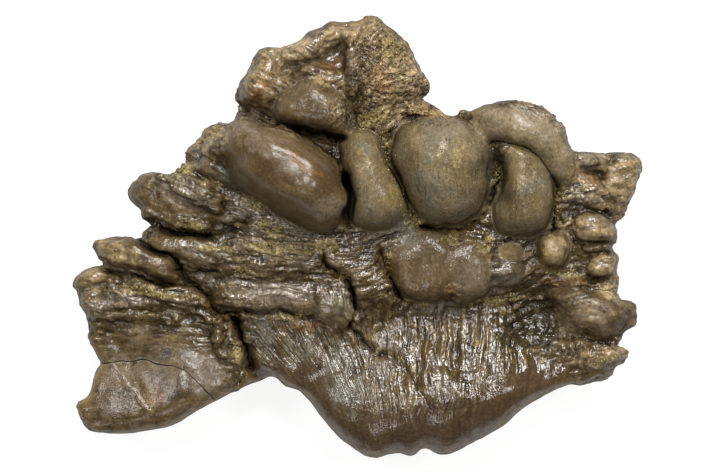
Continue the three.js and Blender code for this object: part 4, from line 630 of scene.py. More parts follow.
def carve():
    """The whole form as a field on the grid."""
    x, y = np.meshgrid(xs, ys, indexing="ij")
    z = zs[None, None, :].astype(np.float32)
    wavy_x, wavy_y, lift = strayed(x, y)
    depth = depth_inside((x + wavy_x) / 2, (y + wavy_y) / 2, outline)[..., None].astype(np.float32)
    top, edge = (a[..., None].astype(np.float32) for a in between(FRONT, x, y, FRONT_REACH))
    back = between(BACK, x, y, BACK_REACH)[0][..., None].astype(np.float32)
    middle, half = (top + back) / 2, (top - back) / 2
    roll = np.where(z > middle, np.minimum(edge, half), half * BACK_ROLL)
    out_x = roll - depth
    out_z = np.abs(z - middle) - (half - roll)
    corner = np.hypot(np.maximum(out_x, 0), np.maximum(out_z, 0))
    field = corner + np.minimum(np.maximum(out_x, out_z), 0) - roll
    x, y = wavy_x, wavy_y
    z = z + UPWARD_STRAYING * lift[..., None].astype(np.float32)
    for lump in lumps:
        reach = lump.widest + MARGIN
        part = near(lump.centre - reach, lump.centre + reach)
        dome = lump.field(x[part][..., None], y[part][..., None], z[part])
        field[part] = soft_min(field[part], dome, lump.blend)
    for _, blend, path in RIDGES:
        for a, b in zip(path, path[1:]):
            reach = max(a[3], b[3]) + MARGIN
            low = np.minimum(a[:2], b[:2]) - reach
            part = near(low, np.maximum(a[:2], b[:2]) + reach)
            distance, t = to_stretch(x[part], y[part], a, b)
            radius = (a[3] + t * (b[3] - a[3]))[..., None]
            centre = (a[2] + t * (b[2] - a[2]))[..., None] - radius
            crest = np.hypot(distance[..., None], np.maximum(z[part] - centre, 0)) - radius
            crest = np.where(z[part] > middle[part], crest, MARGIN)
            field[part] = soft_min(field[part], crest, blend)
    return field + sunk(x, y)[..., None] * soft_step(middle + CRACK_FOOT, middle + CRACK_MOUTH, z)


def near(low, high):
    """The part of the grid between two corners."""
    i = np.searchsorted(xs, (low[0], high[0]))
    j = np.searchsorted(ys, (low[1], high[1]))
    return slice(*i), slice(*j)


def without_bridges(field):
    """Fills the samples where two sheets of skin would meet along one edge."""
    for _ in range(FILL_ROUNDS):
        changed = False
        for first, second in ((0, 1), (0, 2), (1, 2)):
            cut = [slice(None)] * 3
            corners = []
            for u, v in ((0, 0), (1, 0), (1, 1), (0, 1)):
                cut[first] = slice(1, None) if u else slice(None, -1)
                cut[second] = slice(1, None) if v else slice(None, -1)
                corners.append(field[tuple(cut)])
            a, b, c, d = corners
            inside = [corner < 0 for corner in corners]
            ac = inside[0] & inside[2] & ~inside[1] & ~inside[3]
            bd = inside[1] & inside[3] & ~inside[0] & ~inside[2]
            changed |= bool(ac.any() or bd.any())
            b[ac] = BARELY_INSIDE
            a[bd] = BARELY_INSIDE
        if not changed:
            break
    return field


def skin(field):
    """A closed skin of four-sided faces where the field is zero."""
    inside = field < 0
    shape = np.array(field.shape) - 1
    offsets = [(i, j, k) for i in (0, 1) for j in (0, 1) for k in (0, 1)]
    count = sum(
        inside[i:shape[0] + i, j:shape[1] + j, k:shape[2] + k].astype(np.int8)
        for i, j, k in offsets
    )
    cells = np.argwhere((count > 0) & (count < 8))
    number = np.full(shape, -1, np.int64)
    number[tuple(cells.T)] = np.arange(len(cells))
    total = np.zeros((len(cells), 3))
    crossings = np.zeros((len(cells), 1))
    for axis in range(3):
        step = np.eye(3, dtype=int)[axis]
        for offset in offsets:
            if offset[axis]:
                continue
            low = cells + offset
            a, b = field[tuple(low.T)], field[tuple((low + step).T)]
            crossed = (a < 0) != (b < 0)
            t = np.where(crossed, a / np.where(crossed, a - b, 1), 0)
            place = np.array(offset) + t[:, None] * step
            total += np.where(crossed[:, None], place, 0)
            crossings += crossed[:, None]
    places = (cells + total / crossings) * SAMPLE + (xs[0], ys[0], zs[0])
    faces = []
    for axis in range(3):
        step = np.eye(3, dtype=int)[axis]
        u, v = np.eye(3, dtype=int)[(axis + 1) % 3], np.eye(3, dtype=int)[(axis + 2) % 3]
        start = tuple(slice(0, s + 1 - d) for s, d in zip(shape, step))
        end = tuple(slice(d, s + 1) for s, d in zip(shape, step))
        where = np.argwhere(inside[start] != inside[end])
        outward = inside[tuple(where.T)]
        ring = [number[tuple((where - d).T)] for d in (0 * u, u, u + v, v)]
        ring = np.stack(ring, 1)
        faces.append(np.where(outward[:, None], ring, ring[:, ::-1]))
    return places, np.concatenate(faces)


def whole(places, faces):
    """Keeps the one skin of the bone, without specks beside it or bubbles inside it."""
    label = np.arange(len(places))
    for _ in range(LABEL_ROUNDS):
        lowest = label[faces].min(1)
        following = label.copy()
        np.minimum.at(following, faces.ravel(), np.repeat(lowest, 4))
        following = following[following]
        if (following == label).all():
            break
        label = following
    main = np.bincount(label).argmax()
    kept = label == main
    number = np.cumsum(kept) - 1
    return places[kept], number[faces[kept[faces].all(1)]]


def normals_of(places, faces):
    """Which way the skin faces at each place."""
    a, b, c, d = (places[faces[:, i]] for i in range(4))
    face_normals = np.cross(c - a, d - b)
    total = np.zeros_like(places)
    for i in range(4):
        np.add.at(total, faces[:, i], face_normals)
    return total / (np.linalg.norm(total, axis=1, keepdims=True) + 1e-9)


def smoothed(values, faces, rounds):
    """Values averaged with those of their neighbours, a few times over."""
    a, b = faces.ravel(order="F"), np.roll(faces, -1, 1).ravel(order="F")
    count = len(values)
    neighbours = np.bincount(a, minlength=count) + np.bincount(b, minlength=count)
    flat = values.reshape(count, -1)
    for _ in range(rounds):
        total = np.stack([
            np.bincount(a, column[b], count) + np.bincount(b, column[a], count) for column in flat.T
        ], 1)
        flat = 0.5 * flat + 0.5 * total / neighbours[:, None]
    return flat.reshape(values.shape)


# Skull section: its surface relief.
# The bone is dense and smooth on the knobs, finely fluted down the apron, layered like wood in the
# tongues and ledges, spongy where the top block is broken open, and rough all over the back.

APRON = ((14, -46), (62, 30), 0)
PLATE = ((-70, -50), (27, 21), 0)
SPONGE = ((14, 56), (15, 19), -20)
SHARD = ((22, 42), (12, 5), -15)
BLOCK = ((-16, 56), (24, 17), 0)
DARK_HOLLOW = ((59, -27), (10, 10), 0)
GLOSSY_KNOBS = ("left knob",)
SATIN_KNOBS = ("second row, middle", "second row, right", "small brown knob", "top node")
SATIN_SHEETS = ("middle tongue", "right lobe", "upper tongue")
OVER_THE_APRON = ("right lobe", "right rim")
GROWTH_RINGS = ((-8, -22), (8, 6.5), 0)
RINGS_MIDDLE = (-17, -21.5)
RING_SPACING = 1.7
FLUTES_START = -22
FLUTES_LEAN = ((-45, -25, -5, 12, 40, 70), (0.9, 0.62, 0.3, 0.04, 0, -0.12))
KNOBS = (
    "left knob", "middle knob", "big knob", "right knob", "second row, middle", "second row, right",
    "top node", "small brown knob", "tan pebble",
)
SMOOTH_BONE = (
    "upper tongue", "middle tongue", "tongue behind the crack", "long tongue", "long tongue, tip",
    "second row, left", "right lobe", "blue grey lump", "left lip", "left block", "right block",
    "right small block", "end slab", "shelf behind the knobs", "left shoulder", "block, left shoulder",
    "block, rim",
)
UPPER_RIGHT_KNOB = ((45, 37.2), (52, 37), (58, 34.8), (62.6, 30.6), (65.7, 25.8), (67, 21.5))
BROKEN_FACE = ((-5, 41.5), (3.6, 4.4), 0)
LOZENGE = ((-4.5, -46), (7.5, 15), 12)
VEIN = ((-89, -32), (-82.5, -41), (-76, -51), (-69, -59))
FAINT_CRACKS = ("plate groove", "seam between the second row lumps", "crevice beside the big knob")
LEFT_KNOB_CREST = ((-37, 30.5), (-27, 25), (-17, 18), (-10, 11))

# Where a share begins and where it is full: by how far the skin faces up, down or to the camera, by
# a lump's field or its outline, by the distance to a path, and by x, y, height or depth from the edge
FACES_UP, FACES_DOWN, FACES_CAMERA = (-0.15, 0.35), (0.1, 0.5), (0.2, 0.8)
OFF_SKIN, OFF_OUTLINE, OFF_OVAL = (0.3, 1.3), (0.96, 1.04), 0.3
CURVED_KNOB_REACH, CURVED_KNOB_HEIGHT = (5.5, 7), (38, 44)
CREST_REACH, CREST_HEIGHT = (7, 9), (48, 54)
APRON_TOP, APRON_LEFT = (-19, -23), (-40, -34)
RIM_DEPTH, RIM_LEVEL = (9, 17), (-36, -48)
BEADS_LEVEL, SWELLS_LEFT, RINGS_LEFT = (-38, -24), (8, -4), (-14, -10)
LAYERS_ON_PLATE = (-31, -24)
FLAT_LEFT_FLUTES = (0, -12)
LOZENGE_EDGE, LOZENGE_LINE = (0.85, 1.05), 0.09
VEIN_WIDTH = 0.6
SHALLOW = 2
FAR_FROM_CRACKS = 9
OUT_OF_REACH = 99.0
KEPT_SMALLER = 100

# Rounds of smoothing: off the sample steps, as wear, and to tell small and large hollows
STEP_ROUNDS = 4
WEAR_ROUNDS = 26
SMALL_HOLLOW_ROUNDS = 14
LARGE_HOLLOW_ROUNDS = 90


def region(x, y, oval):
    """1 inside an oval, falling to 0 past its edge."""
    centre, radii, turn = oval
    c, s = math.cos(math.radians(turn)), math.sin(math.radians(turn))
    dx, dy = x - centre[0], y - centre[1]
    out = np.hypot((dx * c + dy * s) / radii[0], (dy * c - dx * s) / radii[1])
    return 1 - soft_step(1 - OFF_OVAL, 1 + OFF_OVAL, out)


def flute_line(x, y):
    """Which flute of the apron a place is on: where its flute starts, at the apron's upper edge."""
    down = FLUTES_START - y
    start = x
    for _ in range(3):
        start = x - np.interp(start, *FLUTES_LEAN) * down
    return start


def on_lumps(x, y, z, names, outline_too=False):
    """1 on the named lumps' own surface, or on all that lies within their outlines."""
    share = np.zeros(len(x))
    for lump in lumps:
        if lump.name in names:
            close = np.hypot(x - lump.centre[0], y - lump.centre[1]) < lump.widest + MARGIN
            value = lump.field(x[close], y[close], z[close])
            share[close] = np.maximum(share[close], 1 - soft_step(*OFF_SKIN, value))
            if outline_too:
                out = lump.across(x[close], y[close])
                share[close] = np.maximum(share[close], 1 - soft_step(*OFF_OUTLINE, out))
    return share


def beside(x, y, paths):
    """Distance to the nearest of some cracks in half widths, plain and negative on its right side.

    A shallow crack counts as narrower.
    """
    nearest, signed = np.full(len(x), OUT_OF_REACH), np.full(len(x), OUT_OF_REACH)
    for _, half_width, deepest, path in paths:
        for a, b in zip(path, path[1:]):
            distance = to_stretch(x, y, a, b)[0] / half_width * max(1, SHALLOW / deepest)
            left = (b[0] - a[0]) * (y - a[1]) - (b[1] - a[1]) * (x - a[0])
            closer = distance < nearest
            nearest = np.where(closer, distance, nearest)
            signed = np.where(closer, distance * np.sign(left), signed)
    return nearest, signed


# The skin, and where each kind of bone lies on it, as a share from 0 to 1
field = without_bridges(carve())
places, faces = whole(*skin(field))
places = smoothed(places, faces, STEP_ROUNDS)
normals = normals_of(places, faces)
x, y, z = places.T
wavy_x, wavy_y, lift = strayed(x, y)
wavy = (wavy_x, wavy_y, z + UPWARD_STRAYING * lift)
front = soft_step(*FACES_UP, normals[:, 2])
back = soft_step(*FACES_DOWN, -normals[:, 2])
side = 1 - np.maximum(front, back)
knob = on_lumps(*wavy, KNOBS, True)
curved = 1 - soft_step(*CURVED_KNOB_REACH, to_path(wavy_x, wavy_y, UPPER_RIGHT_KNOB))
crest = 1 - soft_step(*CREST_REACH, to_path(wavy_x, wavy_y, LEFT_KNOB_CREST))
crest = crest * soft_step(*CREST_HEIGHT, z)
knob = np.maximum(knob, curved * soft_step(*CURVED_KNOB_HEIGHT, z))
glossy_knob = np.maximum(on_lumps(*wavy, GLOSSY_KNOBS, True), crest)
broken_face = spot(x, y, *BROKEN_FACE)
knob = np.maximum(knob, glossy_knob) * (1 - 0.8 * broken_face)
satin = on_lumps(*wavy, SATIN_KNOBS, True)
satin_sheet = on_lumps(*wavy, SATIN_SHEETS)
smooth_bone = on_lumps(*wavy, SMOOTH_BONE)
smooth_bone = np.maximum(smooth_bone, region(x, y, BLOCK) * (1 - region(x, y, SPONGE)))
dark_cracks = [crack for crack in CRACKS if crack[0] not in FAINT_CRACKS]
crack_near, crack_side = beside(wavy_x, wavy_y, dark_cracks)

apron = region(x, y, APRON) * soft_step(*APRON_TOP, y) * (1 - on_lumps(*wavy, OVER_THE_APRON))
stray_x, stray_y = (3 * waves(places, 6, seed) for seed in (27, 28))
apron *= soft_step(*APRON_LEFT, x) * (1 - region(x + stray_x, y + stray_y, DARK_HOLLOW))
column, row = (np.round((a - b[0]) / SAMPLE).astype(int) for a, b in ((x, xs), (y, ys)))
edge_depth = depth_inside(*np.meshgrid(xs, ys, indexing="ij"), outline)
from_edge = edge_depth[np.clip(column, 0, len(xs) - 1), np.clip(row, 0, len(ys) - 1)]
rim = apron * (1 - soft_step(*RIM_DEPTH, from_edge + 2 * waves(places, 9, 20)))
rim = rim * soft_step(*RIM_LEVEL, y)
plate = region(x, y, PLATE)
sponge = np.maximum(region(x, y, SPONGE), region(x, y, SHARD))
bare = (1 - knob) * (1 - apron) * (1 - plate) * (1 - sponge)

# The knobs, the apron's rim and the plate are smooth: their small unevenness is worn off first
worn = np.maximum.reduce([knob, rim, 0.9 * plate, 0.7 * satin_sheet]) * front
places += (smoothed(places, faces, WEAR_ROUNDS) - places) * worn[:, None]
normals = normals_of(places, faces)
x, y, z = places.T

# Textures about a millimetre high: waves with a size in millimetres and a seed, some of them
# stretched along the flutes or the fibres
level = flute_line(x, y) + 1.1 * waves(places, 8, 14) + 0.4 * waves(places, 3, 23)
flute_place = np.stack([level, y / 6 + z / 9, 0 * x], 1)
flutes = 0.6 - 1.6 * np.abs(waves(flute_place, 3.1, 1)) + 0.4 * waves(flute_place * (1, 1.6, 1), 1.3, 2)
flutes *= np.clip(0.9 + 1.2 * waves(places, 13, 24), 0.35, 1.5)
beads = np.maximum(0, waves(places, 2.1, 15)) * soft_step(*BEADS_LEVEL, y)
fall = np.interp(y, (-25, 0, 15), (-0.07, -0.2, -0.5)) * soft_step(25, -15, x)
fall = fall + 0.1 * soft_step(40, 65, x)
across = y - fall * (x + 50 * soft_step(30, -10, x))
across = across + 1.4 * waves(places, 12, 5) + 0.5 * waves(places, 4.5, 16)
fibre_place = np.stack([x * 0.13, across, z * 0.6], 1)
fibres = 0.7 - 2 * np.abs(waves(fibre_place, 3.0, 3))
fine_fibres = waves(fibre_place, 1.25, 4)
lumpy = 0.65 * waves(places, 5.2, 6) + 0.45 * waves(places, 2.4, 7)
wrinkles = 0.5 - np.abs(waves(places, 1.9, 17)) - 0.5 * np.abs(waves(places, 3.7, 18))
pits = soft_step(0.12, 0.5, np.abs(waves(places, 2.3, 8)) + 0.35 * np.abs(waves(places, 1.2, 9)))
broken = 0.6 * waves(places, 11, 10) + 0.3 * waves(places, 5, 11) + 0.15 * waves(places, 2.2, 12)
dents = 0.9 * waves(places, 8, 13) + 0.12 * waves(places, 3.4, 19)
swells = waves(places * (1, 0.5, 1), 4.6, 25) * soft_step(*SWELLS_LEFT, x)
ring = np.hypot(x - RINGS_MIDDLE[0], y - RINGS_MIDDLE[1]) + 0.8 * waves(places, 6, 26)
ringed = region(x, y, GROWTH_RINGS) * soft_step(*RINGS_LEFT, x)
rings = np.cos(ring * math.tau / RING_SPACING) * ringed
(middle_x, middle_y), (half_wide, half_high), turn = LOZENGE
turned = ((x - middle_x) + 1j * (y - middle_y)) * np.exp(-1j * math.radians(turn))
out = np.hypot(turned.real / half_wide, turned.imag / half_high) + 0.1 * waves(places, 7, 29)
lozenge = apron * (1 - soft_step(*LOZENGE_EDGE, out))
lozenge_edge = apron * np.exp(-(((out - 1) / LOZENGE_LINE) ** 2))
vein = plate * np.exp(-((to_path(x + stray_x * 0.5, y + stray_y * 0.5, VEIN) / VEIN_WIDTH) ** 2))

layered = bare * smooth_bone * (1 - np.maximum(ringed, 0.3 * satin_sheet))
uneven = bare * smooth_bone * (1 - np.maximum(ringed, 0.5 * satin_sheet))

# How far each kind of bone rises off the plain form, in millimetres
rise = front * (
    apron * (1 - rim) * flutes * (1 - 0.6 * soft_step(*FLAT_LEFT_FLUTES, x)) * (1 - 0.7 * lozenge)
    + apron * (1 - rim) * (1.3 * beads + 0.4 * lumpy + 1.1 * swells)
    + 0.45 * lozenge_edge * (1 - rim)
    + 0.35 * vein
    + 0.3 * rim * dents
    + 0.3 * knob * dents
    + satin * (0.12 * wrinkles + 0.2 * lumpy)
    + broken_face * (0.6 * wrinkles + 0.5 * lumpy)
    + plate * (0.3 * dents + 0.45 * fibres * soft_step(*LAYERS_ON_PLATE, y) + 0.05 * wrinkles)
    + bare * (1 - smooth_bone) * (0.9 * fibres + 0.7 * fine_fibres + 0.8 * lumpy + 1.1 * wrinkles)
    + layered * (0.55 * fibres + 0.35 * fine_fibres)
    + uneven * (0.35 * lumpy + 0.25 * wrinkles)
    + bare * (0.5 * rings + 0.25 * ringed * lumpy)
    + sponge * (1.1 * pits - 0.7 + 0.6 * lumpy)
)
rise += side * (1 - np.maximum(knob, 0.8 * np.maximum(plate, apron))) * (0.5 * lumpy + 0.4 * fibres)
rise += back * (1.5 * broken + 0.5 * fibres + 0.25 * fine_fibres)
places = places + normals * rise[:, None]
places[:, 2] = np.maximum(places[:, 2], 0)
normals = normals_of(places, faces)

# How far each place lies sunk in a hollow or stands out of the skin: in the colour, low becomes painted
# shade in the hollows and high becomes painted light on raised places
hollow_near, hollow_far = (
    ((smoothed(places, faces, rounds) - places) * normals).sum(1)
    for rounds in (SMALL_HOLLOW_ROUNDS, LARGE_HOLLOW_ROUNDS)
)
low = soft_step(0.15, 0.9, hollow_near * 0.8 + hollow_far * 0.5)
high = soft_step(0.1, 0.7, -hollow_near * 0.9 - hollow_far * 0.3)

# Colour and finish go by what a place is, and some patches by where light or shade would fall, so each is
# kept with the mesh as a share from 0 to 1.
# Every patch of colour is an oval: its middle, its radii and its turn
MATRIX = (
    ((-34, 12), (6, 2.4), -35), ((-30, 4), (6, 3), -30), ((-55, 4), (6, 1.3), -5),
    ((-27, -3.6), (12, 2), -4), ((-10, -3), (7, 2.6), 5), ((-5.5, -12), (2.6, 1.1), -35),
    ((10.5, -9), (1.6, 6.5), 8), ((31, -0.3), (3.2, 3), 0), ((42.5, -3), (2, 4.5), -25),
    ((10.5, 25), (3, 12), 8), ((17, 9.5), (3, 9), 25), ((66.5, 13.5), (4, 1.4), 0),
    ((66.5, 7.5), (1.5, 3.5), 0), ((67.5, -12), (9, 1.5), -8), ((-24, -26.5), (7, 1.3), 0),
    ((-74, -16.7), (7, 1), 0), ((1.5, 37.5), (3.2, 6), -30), ((13, 63), (5, 4), -20),
    ((-47, -4), (7, 1.2), -5), ((47, 19), (1.6, 6), 8), ((-58, 22), (4, 2), 30),
    ((6, 40), (4, 4), 0), ((-40, -39), (1.2, 5), 10), ((83, -41), (5, 1.2), 15),
    ((33, 26), (2.5, 7), -30), ((48, -20.5), (12, 1), 3), ((70, 22), (2, 6), 0),
    ((-38, -12), (8, 1.2), -10), ((37.5, -23), (1.4, 1), 0), ((44, -21.6), (1.5, 1.1), 0),
    ((51, -20), (1.9, 1), 10), ((22.5, -22), (1.4, 1), 0), ((-66, -19), (16, 1.2), -6),
    ((40, -35), (2, 1.4), 0), ((62, -8), (2.5, 3), 0), ((-48, 18), (5, 1.2), -30),
)
TAN_BONE = (
    ((15, 56), (12, 17), -20), ((24, 42), (9, 3), -20), ((89, 19), (7, 9), 0),
    ((80, -40), (9, 3), 12), ((76, 3), (8, 4), 0), ((80, -9), (6, 4), 0), ((-88, -14), (7, 4), 0),
    ((-80, -5), (9, 4), -20), ((50, -5), (4, 2.6), 0), ((-50, 34), (7, 5), 0),
    ((66, -3), (5, 5), 0), ((4, 68), (8, 5), 0), ((-8, 66), (8, 4), 20), ((-30, 53), (8, 9), 0),
    ((-20, 62), (8, 4), 20), ((-8, 52), (7, 3), 0), ((84, -17), (5, 4), 0),
)
# Stains over the bone, with painted light and shade among them: painted sheen in the mauve spots, painted
# light in the pale ones, painted shade in the dark and wine ones
STAINS_AND_PAINTED_LIGHT = {
    "orange": (
        ((-37, 12.8), (3.6, 3), 30), ((11.2, -9.5), (1.8, 4.5), 5), ((30.5, -18), (1.8, 2.4), 0),
        ((26, 43), (8, 4), -20), ((8, 52), (5, 6), 0), ((-32, 50), (4, 8), -20),
        ((-8, 57), (5, 3), 0), ((-17, -30), (5, 2), 0), ((69, -14.5), (9, 1.8), 0),
        ((-68, -54), (5, 2.5), 20), ((77, 20), (6, 3), 0), ((-18, 24), (7, 2.5), -30),
        ((56, -6), (3, 1.5), 0),
    ),
    "blue_grey": (
        ((50, -12.5), (7, 5), 0), ((-40, 17), (4, 9), 40), ((-6, -22), (7, 5), 0),
        ((-19, -36), (6, 5), 0), ((-32, -33), (5, 8), 0), ((62, -34), (6, 3), 0),
        ((-4.5, -46), (7, 14), 12), ((15, 4), (6, 7), 0), ((28, -24), (9, 3), 0),
    ),
    # Mauve-grey bone, and painted sheen on the tops of the big knob and the upper right knob and on the
    # left knob's crest
    "lavender": (
        ((-69, -44), (19, 4.5), -6), ((-58, 14), (12, 5), -25), ((-80, -21.5), (10, 3), 0),
        ((74, 12), (7, 3.5), 0), ((-50, -46), (6, 8), 20), ((40, -14), (8, 7), 0),
        ((-27, -19), (14, 4), 0), ((74, 26), (8, 2.5), 0), ((28, 36), (9, 4), -15),
        ((56, 39), (12, 4), -15), ((-34, 32), (10, 4), -30), ((-10, 10), (6, 4), 0),
    ),
    # Dark greenish stain on the dark hollow, and painted shade along the crevices under the tongues and
    # between the right knobs
    "green_dark": (
        ((60, -28), (9, 10), 0), ((46, 21), (3, 8), 0), ((-45, 2), (8, 3), 0),
        ((52, -32), (7, 8), 0), ((-66, -15), (14, 2.4), 0),
    ),
    # Pale bone, and painted light on the upper right knob and the right knob
    "pale": (
        ((56, 36), (16, 6), -15), ((66, 27), (4, 8), 10), ((15, 54), (13, 17), -20),
        ((-26, 58), (10, 5), 30), ((77, 3), (8, 5), 0), ((82, -9), (5, 4), 0),
        ((84, -40), (8, 4), 10), ((70, -28), (6, 6), 0), ((86, -17), (5, 5), 0),
        ((-12, 62), (12, 6), 15), ((66, -4), (4, 5), 0), ((75, 18), (6, 6), 0),
        ((78, -25), (8, 4), 0), ((79, 20), (12, 8), 0),
    ),
    # Wine-brown stains, and painted shade on the right flank of the left knob
    "wine_brown": (
        ((-9, 20), (6, 10), -15), ((-8, 38), (9, 5), -15), ((-28, 22), (9, 2.5), -35),
        ((-10, 61), (8, 8), -20), ((-21, 56), (9, 4), 10), ((20, -62), (26, 8), 12),
        ((0, -66), (12, 6), 0), ((64, -12), (9, 4), 0), ((88, -29), (4, 4), 0),
    ),
}
RAGGED = 0.7
OVAL_EDGE = (0.3, 0.62)
ragged = 1 + RAGGED * waves(places, 3.1, 21) + RAGGED * waves(places, 1.5, 22)


def any_of(ovals):
    """1 in any of the ovals, with ragged edges."""
    value = np.zeros(len(places))
    for oval in ovals:
        value = np.maximum(value, spot(places[:, 0], places[:, 1], *oval) * ragged)
    return soft_step(*OVAL_EDGE, value)


on_front = {
    "knob": knob, "apron": apron, "plate": plate, "rim": rim, "smooth_bone": smooth_bone,
    "ringed": ringed, "glossy_knob": glossy_knob, "satin": satin, "satin_sheet": satin_sheet,
    "broken_face": broken_face,
    "edge": np.maximum(apron, plate) * soft_step(3, 0.5, from_edge),
    "matrix": any_of(MATRIX) * (1 - 0.5 * knob * (1 - low)),
    **{name: any_of(ovals) for name, ovals in STAINS_AND_PAINTED_LIGHT.items()},
}
shares = {
    **{name: share * front for name, share in on_front.items()},
    "sponge": sponge * (1 - back),
    "tan": any_of(TAN_BONE) * (1 - 0.5 * np.maximum(back, side)),
    "crack_near": np.minimum(crack_near, FAR_FROM_CRACKS) + FAR_FROM_CRACKS * (1 - front),
    "crack_side": np.clip(crack_side, -FAR_FROM_CRACKS, FAR_FROM_CRACKS),
    "facing": soft_step(*FACES_CAMERA, normals[:, 2]),
    "low": low,
    "high": high,
    "back": back,
    "flute": level / KEPT_SMALLER,
    "fibre": across / KEPT_SMALLER,
}

# The form is centred in the solid's own box
shift = (np.array(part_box("skull_section")[0]) + np.array(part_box("skull_section")[1])) / 2 * 1000
centred = places + (*(shift - (places.max(0) + places.min(0)) / 2)[:2], 0)
mesh = bpy.data.meshes.new("skull_section_surface")
mesh.from_pydata((centred / 1000).tolist(), [], faces.tolist())
for name, share in shares.items():
    layer = mesh.attributes.new(name, "FLOAT", "POINT")
    layer.data.foreach_set("value", share.astype(np.float32))
mesh.polygons.foreach_set("use_smooth", np.ones(len(mesh.polygons), bool))
skull = bpy.data.objects.new("skull_section_surface", mesh)
bpy.context.collection.objects.link(skull)

# The broken back and the plain sides keep fewer triangles than the front
MOST_TRIANGLES = 196000
SPARED_ON_BACK, SPARED_ON_SIDE = 0.55, 0.25
DETAIL_WEIGHT = 0.6
detail = skull.vertex_groups.new(name="detail")
coarse = 1 - np.clip(SPARED_ON_BACK * back + SPARED_ON_SIDE * side, 0, 1)
for step in range(11):
    members = np.flatnonzero(np.round(coarse * 10) == step)
    if len(members):
        detail.add(members.tolist(), step / 10, "REPLACE")
thinning = skull.modifiers.new("Thin out", "DECIMATE")
thinning.ratio = MOST_TRIANGLES / (2 * len(faces))
thinning.vertex_group = "detail"
thinning.vertex_group_factor = DETAIL_WEIGHT
thinning.invert_vertex_group = True
thinned = bpy.data.meshes.new_from_object(skull.evaluated_get(bpy.context.evaluated_depsgraph_get()))
skull.modifiers.clear()
skull.data = thinned
skull.vertex_groups.clear()
thinned.name = "skull_section_surface"


# Skull section: its colours and its coat.
# The bone is stained dark brown, greyer on the knobs, tan where it is porous, ochre where sandy
# matrix sticks in the hollows, and it is soaked in a clear consolidant that dried glossy. Its hollows,
# cracks, crevices and the lows of its fine relief carry painted shade, and its raised places and
# some knob tops carry painted light and sheen.


class Amount:
    """A number socket that adds up as it would on paper."""

    def __init__(self, finish, socket):
        self.finish, self.socket = finish, socket

    def maths(self, operation, *others):
        values = {i: v for i, v in enumerate((self, *others))}
        return self.finish.node("ShaderNodeMath", {"operation": operation}, values)

    def __add__(self, other):
        return self.maths("ADD", other)

    def __sub__(self, other):
        return self.maths("SUBTRACT", other)

    def __mul__(self, other):
        return self.maths("MULTIPLY", other)

    def __rsub__(self, other):
        return self.finish.node("ShaderNodeMath", {"operation": "SUBTRACT"}, {0: other, 1: self})

    __radd__ = __add__
    __rmul__ = __mul__

    def larger(self, other):
        return self.maths("MAXIMUM", other)

    def held(self):
        """Kept between 0 and 1."""
        return self.finish.node("ShaderNodeClamp", {}, {0: self})

    def from_to(self, start, end, low=0.0, high=1.0):
        """A soft rise from low to high as the number goes from start to end."""
        settings = {"interpolation_type": "SMOOTHSTEP"}
        values = {"Value": self, "From Min": start, "From Max": end, "To Min": low, "To Max": high}
        return self.finish.node("ShaderNodeMapRange", settings, values)


class Finish:
    """A material, built up one node at a time."""

    def __init__(self, name):
        self.material = bpy.data.materials.new(name)
        self.material.use_nodes = True
        self.tree = self.material.node_tree
        self.tree.nodes.clear()

    def node(self, kind, settings=None, values=None, output=0):
        """A new node with its settings made and its inputs set or linked; gives one output."""
        made = self.tree.nodes.new(kind)
        for name, setting in (settings or {}).items():
            setattr(made, name, setting)
        for key, value in (values or {}).items():
            socket = made.inputs[key]
            if isinstance(value, Amount):
                self.tree.links.new(value.socket, socket)
            elif socket.type == "RGBA":
                socket.default_value = (*value, 1)
            else:
                socket.default_value = value
        return Amount(self, made.outputs[output]) if len(made.outputs) else None

    def share(self, name):
        """What the mesh says of a place."""
        return self.node("ShaderNodeAttribute", {"attribute_name": name}, output="Fac")

    def place(self):
        """Places on the piece, in millimetres."""
        metres = self.node("ShaderNodeTexCoord", output="Object")
        return self.node("ShaderNodeVectorMath", {"operation": "SCALE"}, {0: metres, "Scale": 1000})

    def mix(self, under, over, amount, blend="MIX"):
        """One colour over another; a Mix node's colour sockets have the numbers 0, 6 and 7."""
        settings = {"data_type": "RGBA", "blend_type": blend}
        return self.node("ShaderNodeMix", settings, {0: amount, 6: under, 7: over}, output=2)

    def painted(self, ground, *coats):
        """Colours laid over a ground one after another, each by its own amount."""
        for paint, amount in coats:
            ground = self.mix(ground, paint, amount)
        return ground

    def noise(self, place, size, detail=4.0, roughness=0.55, stretch=None, warp=0.0):
        """Soft cloudy variation; size is in millimetres."""
        if stretch:
            place = self.node("ShaderNodeVectorMath", {"operation": "MULTIPLY"}, {0: place, 1: stretch})
        return self.node("ShaderNodeTexNoise", {}, {
            "Vector": place, "Scale": 1 / size,
            "Detail": detail, "Roughness": roughness, "Distortion": warp,
        })


def shade(*screen):
    """A colour as it is read off a screen, from 0 to 255, as the light it stands for."""
    return tuple((c / 255 / 12.92) if c < 11 else ((c / 255 + 0.055) / 1.055) ** 2.4 for c in screen)


UMBER = shade(46, 35, 18)
BROWN = shade(79, 62, 37)
LIGHT_BROWN = shade(112, 92, 59)
STONE_GREY = shade(115, 100, 75)
OLIVE_GREY = shade(92, 79, 54)
OCHRE = shade(124, 108, 64)
PALE_OCHRE = shade(168, 152, 104)
RUST = shade(122, 80, 36)
TAN = shade(150, 127, 88)
PALE_TAN = shade(176, 156, 124)
SLATE = shade(92, 92, 78)
MAUVE = shade(110, 97, 82)
WINE = shade(64, 47, 31)
GREEN_BLACK = shade(34, 34, 20)
# Painted shade inside the cracks
CRACK_SHADE_BLACK = shade(12, 8, 4)
PORE_SIZE = 1.1

